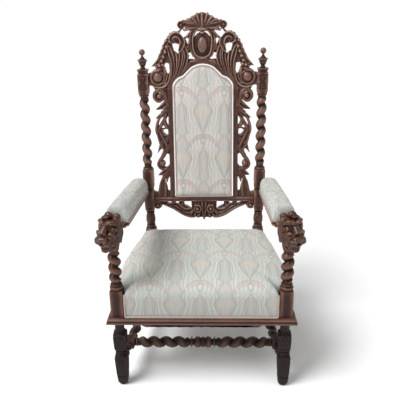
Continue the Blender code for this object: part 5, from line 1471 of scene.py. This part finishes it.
# %% Gimp
def braid(path, outward, wide=0.0045, thick=0.0016, loop=0.006):
    """Skin of a braid along a path of points: its width pulses by an eighth at each loop."""
    path = np.asarray(path, float)
    length = np.concatenate([[0], np.cumsum(np.linalg.norm(np.diff(path, axis=0), axis=1))])
    places = np.arange(0, length[-1], loop / 4)
    points = np.column_stack([np.interp(places, length, path[:, k]) for k in range(3)])
    ahead_way = np.gradient(points, axis=0)
    ahead_way /= np.linalg.norm(ahead_way, axis=1, keepdims=True)
    out = np.broadcast_to(np.asarray(outward, float), points.shape)
    out = out / np.linalg.norm(out, axis=1, keepdims=True)
    across = np.cross(ahead_way, out)
    turn = np.linspace(0, TAU, 10, endpoint=False)
    pulse = 1 + 0.12 * np.cos(places / loop * TAU)
    sideways = across[:, None] * (np.cos(turn) * wide)[None, :, None] * pulse[:, None, None]
    return skin_of_rings(points[:, None] + sideways + out[:, None] * (np.sin(turn) * thick)[None, :, None])


low_z, top_z, front_y = MOULDING_TOP + 0.005, 0.400, FRONT_FACE - 0.0062
gimp_x = FRONT_INNER - 0.0065
seat_path = [(-gimp_x, front_y, top_z), (-gimp_x, front_y, low_z), (gimp_x, front_y, low_z), (gimp_x, front_y, top_z)]
gimp_skins = [braid(seat_path[k:k + 2], (0, -1, 0), wide=0.0045 if k == 1 else 0.0028) for k in range(3)]
for side in (-1, 1):
    ends = [(side * (seat_side(depth) + 0.002), depth, low_z) for depth in (-FRONT_FACE + 0.006, BACK_FACE - 0.006)]
    gimp_skins.append(braid(ends, (side, 0, 0)))
for side in (-1, 1):
    for edge in (-1, 1):
        arm_depths = np.array([0.008, ARM_END - 0.006])
        arm_x = side * ARM_SPREAD + edge * 0.0398
        arm_path = np.column_stack([np.full(2, arm_x), arm_depths, arm_low(arm_depths) + 0.0155])
        gimp_skins.append(braid(arm_path, (edge, 0, 0)))
panel_edge = np.asarray(panel_rings()[5])[:, [0, 2]]
panel_path = np.column_stack([panel_edge[:, 0], back_y(panel_edge[:, 1]) - 0.0195, panel_edge[:, 1]])
gimp_skins.append(braid(np.vstack([panel_path, panel_path[:2]]), (0, -1, RAKE), wide=0.0036))
finish_piece("rose_gimp", mesh_of("rose_gimp", gimp_skins), gimp, [], rounds=0)

# %% [markdown]
# ## Mouldings and apron of the seat frame
# A planed moulding runs round the front and sides of the seat, mitred at the front
# corners: a half round at the foot, a hollow, and a small ovolo on top. It is one
# profile carried along each side. Under the front hangs a thin sawn apron, a row of
# half-round lobes meeting in cusps.


# %% Mouldings and apron
PROFILE = 0.001 * np.array([
    (0.0, 0.0), (11.0, 0.0), (13.4, 0.8), (15.2, 2.6), (16.0, 5.0), (15.6, 7.6), (14.0, 9.6), (11.6, 10.8),
    (11.0, 11.6), (11.2, 12.6), (12.8, 13.6), (13.4, 15.2), (13.2, 17.4), (12.4, 19.4), (10.6, 21.2), (8.4, 22.4),
    (7.6, 23.2), (7.0, 24.0), (0.0, 24.0)])
JOINT, FRONT_MITRE, SIDE_MITRE = 0.0003, 0.0002, 0.0006
FRONT_CORNER = (FRONT_OUTER + JOINT, FRONT_FACE - JOINT)
FINE_PROFILE = smooth_path(PROFILE, 70)[0]


def moulding(path, ways):
    """The profile carried along a path of floor points, going out from each point a given way."""
    path, ways = np.asarray(path, float), np.asarray(ways, float)
    rings = np.empty((len(path), len(FINE_PROFILE), 3))
    rings[..., :2] = path[:, None] + ways[:, None] * FINE_PROFILE[None, :, :1]
    rings[..., 2] = FRAME_BOTTOM + FINE_PROFILE[:, 1]
    return skin_of_rings(rings)


cx, cy = FRONT_CORNER
front_path = [(-cx + FRONT_MITRE, cy), (cx - FRONT_MITRE, cy)]
wooden("front_moulding_run", [moulding(front_path, [(-1, -1), (1, -1)])], worn_and_highlit_walnut, ["front_moulding"], rounds=30)
for side, word in ((-1, "left"), (1, "right")):
    rear_x = side * (BACK_OUTER + JOINT)
    path = [(side * cx, cy + SIDE_MITRE), (side * cx, 0.0235), (rear_x, BACK_FACE), (rear_x, 0.5705)]
    wooden(f"side_moulding_run_{word}", [moulding(path, [(side, -1), (side, 0.0), (side, 0.0), (side, 0.0)])],
           worn_and_highlit_walnut, [f"side_moulding_{word}"], rounds=30)


APRON_HALF, APRON_TOP, APRON_LOW = 0.220, 0.2797, 0.2597
LOBES, LOBE_DEEP = 11, 0.009


def apron():
    """Outline of the apron: lobes as half sine waves, then its front edge eased over.

    It stands 4 mm behind the face of the rail, 8 mm further forward than its solid does.
    """
    across = np.linspace(APRON_HALF, -APRON_HALF, LOBES * 24 + 1)
    wave = np.abs(np.sin(np.pi * (across / (2 * APRON_HALF) + 0.5) * LOBES)) ** 0.8
    outline = np.vstack([[(-APRON_HALF, APRON_TOP), (APRON_HALF, APRON_TOP)],
                         np.column_stack([across, APRON_LOW + LOBE_DEEP * (1 - wave)])])
    rings = []
    for depth, draw in ((0.0040, 0.0012), (0.0045, 0.0004), (0.0055, 0.0), (0.0240, 0.0)):
        eased = np.column_stack([-np.sign(outline[:, 0]) * draw, np.where(outline[:, 1] < 0.275, draw, 0)])
        drawn = outline + eased
        rings.append(np.column_stack([drawn[:, 0], np.full(len(drawn), FRONT_FACE + depth), drawn[:, 1]]))
    return skin_of_rings(rings)


wooden("scalloped_apron", [apron()], depth_walnut, ["front_apron"], rounds=0)

# %% [markdown]
# ## The lion heads
# Each arm ends in a lion's head, turned outwards and bowed, cut from one block with the
# top of the arm support. The carver roughs out the brow, muzzle, jaw and mane, and then
# rounds each lock. Here the same masses are set out as balls and tapering locks in the
# head's own axes (across, ahead, up, in millimetres), melted into one skin by an even
# remesh, and smoothed a little, as gouge work is by wear. The left head mirrors the right.


# %% Lion heads
HEAD_PLACE = np.array([FRONT_SPACING / 2, -0.032, 0.6444])
TURN, BOW = math.radians(28), math.radians(12)
HEAD_AXES = np.array([(math.cos(TURN), math.sin(TURN), 0.0),
                      (math.sin(TURN) * math.cos(BOW), -math.cos(TURN) * math.cos(BOW), -math.sin(BOW)),
                      (math.sin(TURN) * math.sin(BOW), -math.cos(TURN) * math.sin(BOW), math.cos(BOW))])


def ball(centre, radii, around=28, rows=15):
    """A closed ellipsoid: circles of radius sin(t) from pole to pole, scaled by the three radii."""
    turn = np.linspace(0, TAU, around, endpoint=False)
    polar = np.linspace(0.08, math.pi - 0.08, rows)[:, None]
    unit = np.stack([np.sin(polar) * np.cos(turn), np.sin(polar) * np.sin(turn), np.cos(polar) * np.ones(around)], -1)
    return skin_of_rings(np.asarray(centre, float) + unit * radii)


def lock(points, radii, ridges=0, stations=26, around=28):
    """A lock of mane along a path: rounded ends, and a given number of combed ridges round it."""
    path, share = smooth_path(np.asarray(points, float), stations)
    radius = np.interp(share, np.linspace(0, 1, len(radii)), radii)
    radius = radius * np.sqrt(np.clip(1 - (2 * np.clip(np.abs(share - 0.5) - 0.42, 0, 0.078) / 0.16) ** 2, 0.02, 1))
    ahead_way = np.gradient(path, axis=0)
    ahead_way /= np.linalg.norm(ahead_way, axis=1, keepdims=True)
    side_way = np.cross(ahead_way, (0.3, 0.2, 1.0))
    side_way /= np.linalg.norm(side_way, axis=1, keepdims=True)
    up_way = np.cross(side_way, ahead_way)
    turn = np.linspace(0, TAU, around, endpoint=False)
    ribbed = radius[:, None] * (1 + (0.13 * np.cos(ridges * turn + share[:, None] * 2.0) if ridges else 0))
    return skin_of_rings(path[:, None] + side_way[:, None] * (ribbed * np.cos(turn))[..., None]
                         + up_way[:, None] * (ribbed * np.sin(turn))[..., None])


def curl(centre, facing, outer, inner, radius, turns, start, hand):
    """A spiral lock lying on a plane that faces a given way, from its outer to its inner radius."""
    facing = np.asarray(facing, float) / np.linalg.norm(facing)
    level = np.cross((0.0, 0.0, 1.0), facing)
    level /= np.linalg.norm(level)
    rise = np.cross(facing, level)
    share = np.linspace(0, 1, 14)
    angle = start + hand * TAU * turns * share
    reach = outer + (inner - outer) * share
    path = (np.asarray(centre, float) + level * (reach * np.cos(angle))[:, None]
            + rise * (reach * np.sin(angle))[:, None] + facing * (share * 2.0)[:, None])
    return lock(path, [radius * 0.7, radius, radius, radius * 0.8], stations=40, around=18)


def lion_head():
    """The right head's skins in millimetres, in its own axes: across outwards, ahead, up."""
    skins = [ball((0, -6, 8), (32, 27, 32)), ball((0, 6, -22), (26, 24, 26)), ball((0, 22, -2), (25, 22, 16)),
             lock([(0, 2, 32), (0, 20, 25), (0, 40, 11)], [11, 12, 15]), ball((0, 50, 2), (24, 10, 9.5)),
             ball((0, 55, 2), (11, 7, 8)), ball((0, 30, -43), (24, 20, 10)), ball((0, 42, -48), (15, 11, 8)),
             ball((0, 34, -30), (13, 14, 4)), ball((0, 22, -28), (25, 19, 12)),
             lock([(0, 20, -46), (0, 24, -56), (0, 16, -68)], [12, 9, 3], 5)]
    for s in (-1, 1):
        skins += [ball((s * 18, -31, 43), (17, 13, 15)), ball((s * 16, 53, -2), (8.5, 7, 7)),
                  ball((s * 18, 41, -15), (17, 15, 11)),
                  ball((s * 27, 8, 20), (9.0, 9.0, 9.0)),
                  curl((s * 27, 5, 20), (s * 0.45, 1.0, 0.45), 17.0, 13.5, 4.6, 0.85, 1.9 if s > 0 else 1.24, -s),
                  lock([(0, 14, 36), (s * 12, 14, 44), (s * 28, 4, 43), (s * 41, -8, 30)], [5, 7.5, 8, 5]),
                  lock([(s * 10, -20, 44), (s * 32, -20, 34), (s * 42, -12, 12), (s * 40, -5, -10), (s * 33, 2, -18)],
                       [8, 11, 11, 9, 5], 5),
                  curl((s * 38, 2, -10), (s, 0.3, 0.0), 9.5, 4.0, 4.6, 1.2, 0.5, 1),
                  lock([(s * 18, 28, 13), (s * 32, 22, 8), (s * 39, 16, -5), (s * 32, 22, -17)], [5, 7, 7, 5]),
                  lock([(s * 23, 33, 3), (s * 31, 28, -6), (s * 29, 28, -16)], [4, 5.5, 4]),
                  ball((s * 32, 25, -27), (9.5, 10, 10)), ball((s * 22, 35, -28), (7, 9, 10)),
                  lock([(s * 32, 20, -24), (s * 35, 2, -24), (s * 30, -13, -34), (s * 20, -17, -48)],
                       [7, 10, 9, 6], 5),
                  lock([(s * 22, 4, -36), (s * 22, 8, -50), (s * 13, 8, -64), (s * 6, 6, -74)], [8, 9, 7, 3], 4),
                  lock([(s * 18, -24, 30), (s * 28, -28, 8), (s * 24, -28, -16), (s * 15, -22, -40)],
                       [9, 10, 10, 7], 5)]
        # Upper teeth with a long fang, then lower ones, each row bowed back towards its sides.
        for (front, high), teeth in (((51.5, -26.0), [(2.8, 3.0, 4.0)] * 3 + [(2.8, 3.0, 5.4), (2.8, 3.0, 4.0)]),
                                     ((43.5, -36.0), [(2.6, 2.8, 3.4)] * 4)):
            for k, radii in enumerate(teeth):
                across = 2.6 + 5.2 * k
                skins.append(ball((s * across, front - 0.016 * across ** 2, high), radii, 10, 7))
    return skins


def fuse(skins, voxel, rounds):
    """Melt closed skins into one by an even remesh, then average each point with its neighbours."""
    bag = placed("roughed_out", mesh_of("roughed_out", skins))
    even = bag.modifiers.new("even", "REMESH")
    even.mode = "VOXEL"
    even.voxel_size = voxel
    mesh = bpy.data.meshes.new_from_object(bag.evaluated_get(bpy.context.evaluated_depsgraph_get()))
    bpy.data.objects.remove(bag, do_unlink=True)
    points = rows_of(mesh.vertices, "co", 3).astype(float) - (0.0, SHIFT, 0.0)
    quads = rows_of(mesh.loops, "vertex_index", 1, np.int32).reshape(-1, 4)
    edges = rows_of(mesh.edges, "vertices", 2, np.int32)
    ends, others = np.concatenate([edges, edges[:, ::-1]]).T
    degree = np.bincount(ends, minlength=len(points))[:, None]
    for _ in range(rounds):
        mean = np.column_stack([np.bincount(ends, points[others, k], len(points)) for k in range(3)]) / degree
        points += 0.5 * (mean - points)
    bpy.data.meshes.remove(mesh)
    return points, [quads]


def arm_board():
    """The right arm board: a slab falling towards the back, with a thin lip below the cloth."""
    half = [(0.0400, 0.0), (0.0400, 0.0072), (0.0335, 0.0078), (0.0335, ARM_BOARD)]
    outline = rounded(half + [(-x, z) for x, z in reversed(half)], [0.0015] * 8, 4)
    across, up = outline[:, 0], outline[:, 1] - ARM_BOARD / 2
    rings = []
    depths = np.concatenate([[-0.022], np.linspace(-0.020, ARM_END - 0.001, 90), [ARM_END]])
    for depth, size in zip(depths, [0.9] + [1.0] * 90 + [0.96]):
        size *= np.interp(depth, [0.002, 0.006], [0.83, 1.0])
        middle = arm_low(depth) + ARM_BOARD / 2
        rings.append(np.column_stack([ARM_SPREAD + across * size, np.full(len(up), depth), middle + up * size]))
    return skin_of_rings(rings)


HEAD_CUT = 0.0011
head_skins = []
for points, faces in lion_head():
    flatter = np.where(points[:, :1] < -24, -24 + (points[:, :1] + 24) * 0.5, points[:, :1])
    head_skins.append((HEAD_PLACE + np.hstack([flatter, points[:, 1:]]) * 0.001 @ HEAD_AXES, faces))
post_x = FRONT_SPACING / 2
neck = np.array([(post_x, 0.0, 0.5566), (post_x, -0.001, 0.572), (post_x, -0.006, 0.600), (post_x, -0.012, 0.632)])
head_skins.append(lock(neck, [0.0175, 0.021, 0.027, 0.027], stations=20))
head = fuse(head_skins, HEAD_CUT, 5)
head[0][:, 1] = np.minimum(head[0][:, 1], 0.0025 + np.maximum(0.64 - head[0][:, 2], 0))
board = arm_board()
for side, word in ((-1, "left"), (1, "right")):
    skins = [(points * (side, 1, 1), faces) for points, faces in (head, board)]
    wooden(f"lion_arm_{word}", skins, lion_walnut, [f"arm_{word}"], rounds=30, crease=60)

# %% [markdown]
# ## Floor and lamps
# A matt white floor takes a soft shadow to the right. The lamps are those of a small
# product studio: a broad window high on the left, a softbox near it and a weak fill on
# the right. The surround is bright only behind the chair, as a white paper roll would be.

# %% Floor and lamps
floor_mesh = bpy.data.meshes.new("studio_floor")
floor_mesh.from_pydata([(-6, -6, 0), (6, -6, 0), (6, 9, 0), (-6, 9, 0)], [], [(0, 1, 2, 3)])
floor_finish, floor_shader, _ = new_material("matt_white_floor")
connect(floor_shader, Base_Color=(0.93, 0.93, 0.93, 1), Roughness=0.9)
floor_mesh.materials.append(floor_finish)
placed("studio_floor", floor_mesh)
surround = bpy.data.worlds.new("studio_surround")
surround.use_nodes = True
sky = surround.node_tree
way = add(sky, "TexCoord", out="Generated")
behind = add(sky, "MapRange", add(sky, "SeparateXYZ", way, out="Y"), 0.05, 0.5)
low_down = add(sky, "MapRange", add(sky, "SeparateXYZ", way, out="Z"), 0.55, 0.25)
paper = add(sky, "Math", behind, low_down, operation="MULTIPLY")
glow = add(sky, "Mix", paper, "#a8a8a8", "#ffffff", data_type="RGBA")
connect(sky.nodes["Background"], Color=glow, Strength=1.02)
bpy.context.scene.world = surround


def softbox(name, place, target, size, watts):
    """A square lamp at a place, turned to look at a target."""
    lamp = bpy.data.lights.new(name, "AREA")
    lamp.size = size
    lamp.energy = watts
    made = placed(name, lamp)
    made.location = place
    made.rotation_euler = (Vector(target) - Vector(place)).to_track_quat("-Z", "Y").to_euler()


daylight = bpy.data.lights.new("diffused_daylight", "SUN")
daylight.energy = 2.8
daylight.angle = math.radians(32)
window = placed("diffused_daylight", daylight)
window.rotation_euler = Vector((-0.60, -0.32, 1.0)).to_track_quat("Z", "Y").to_euler()
softbox("key_softbox", (-1.9, -2.0, 3.0), (0.0, 0.1, 0.6), 1.6, 25)
softbox("fill_softbox", (2.4, -2.2, 1.8), (0.0, 0.0, 0.7), 2.0, 12)

# %% Update the view layer
bpy.context.view_layer.update()
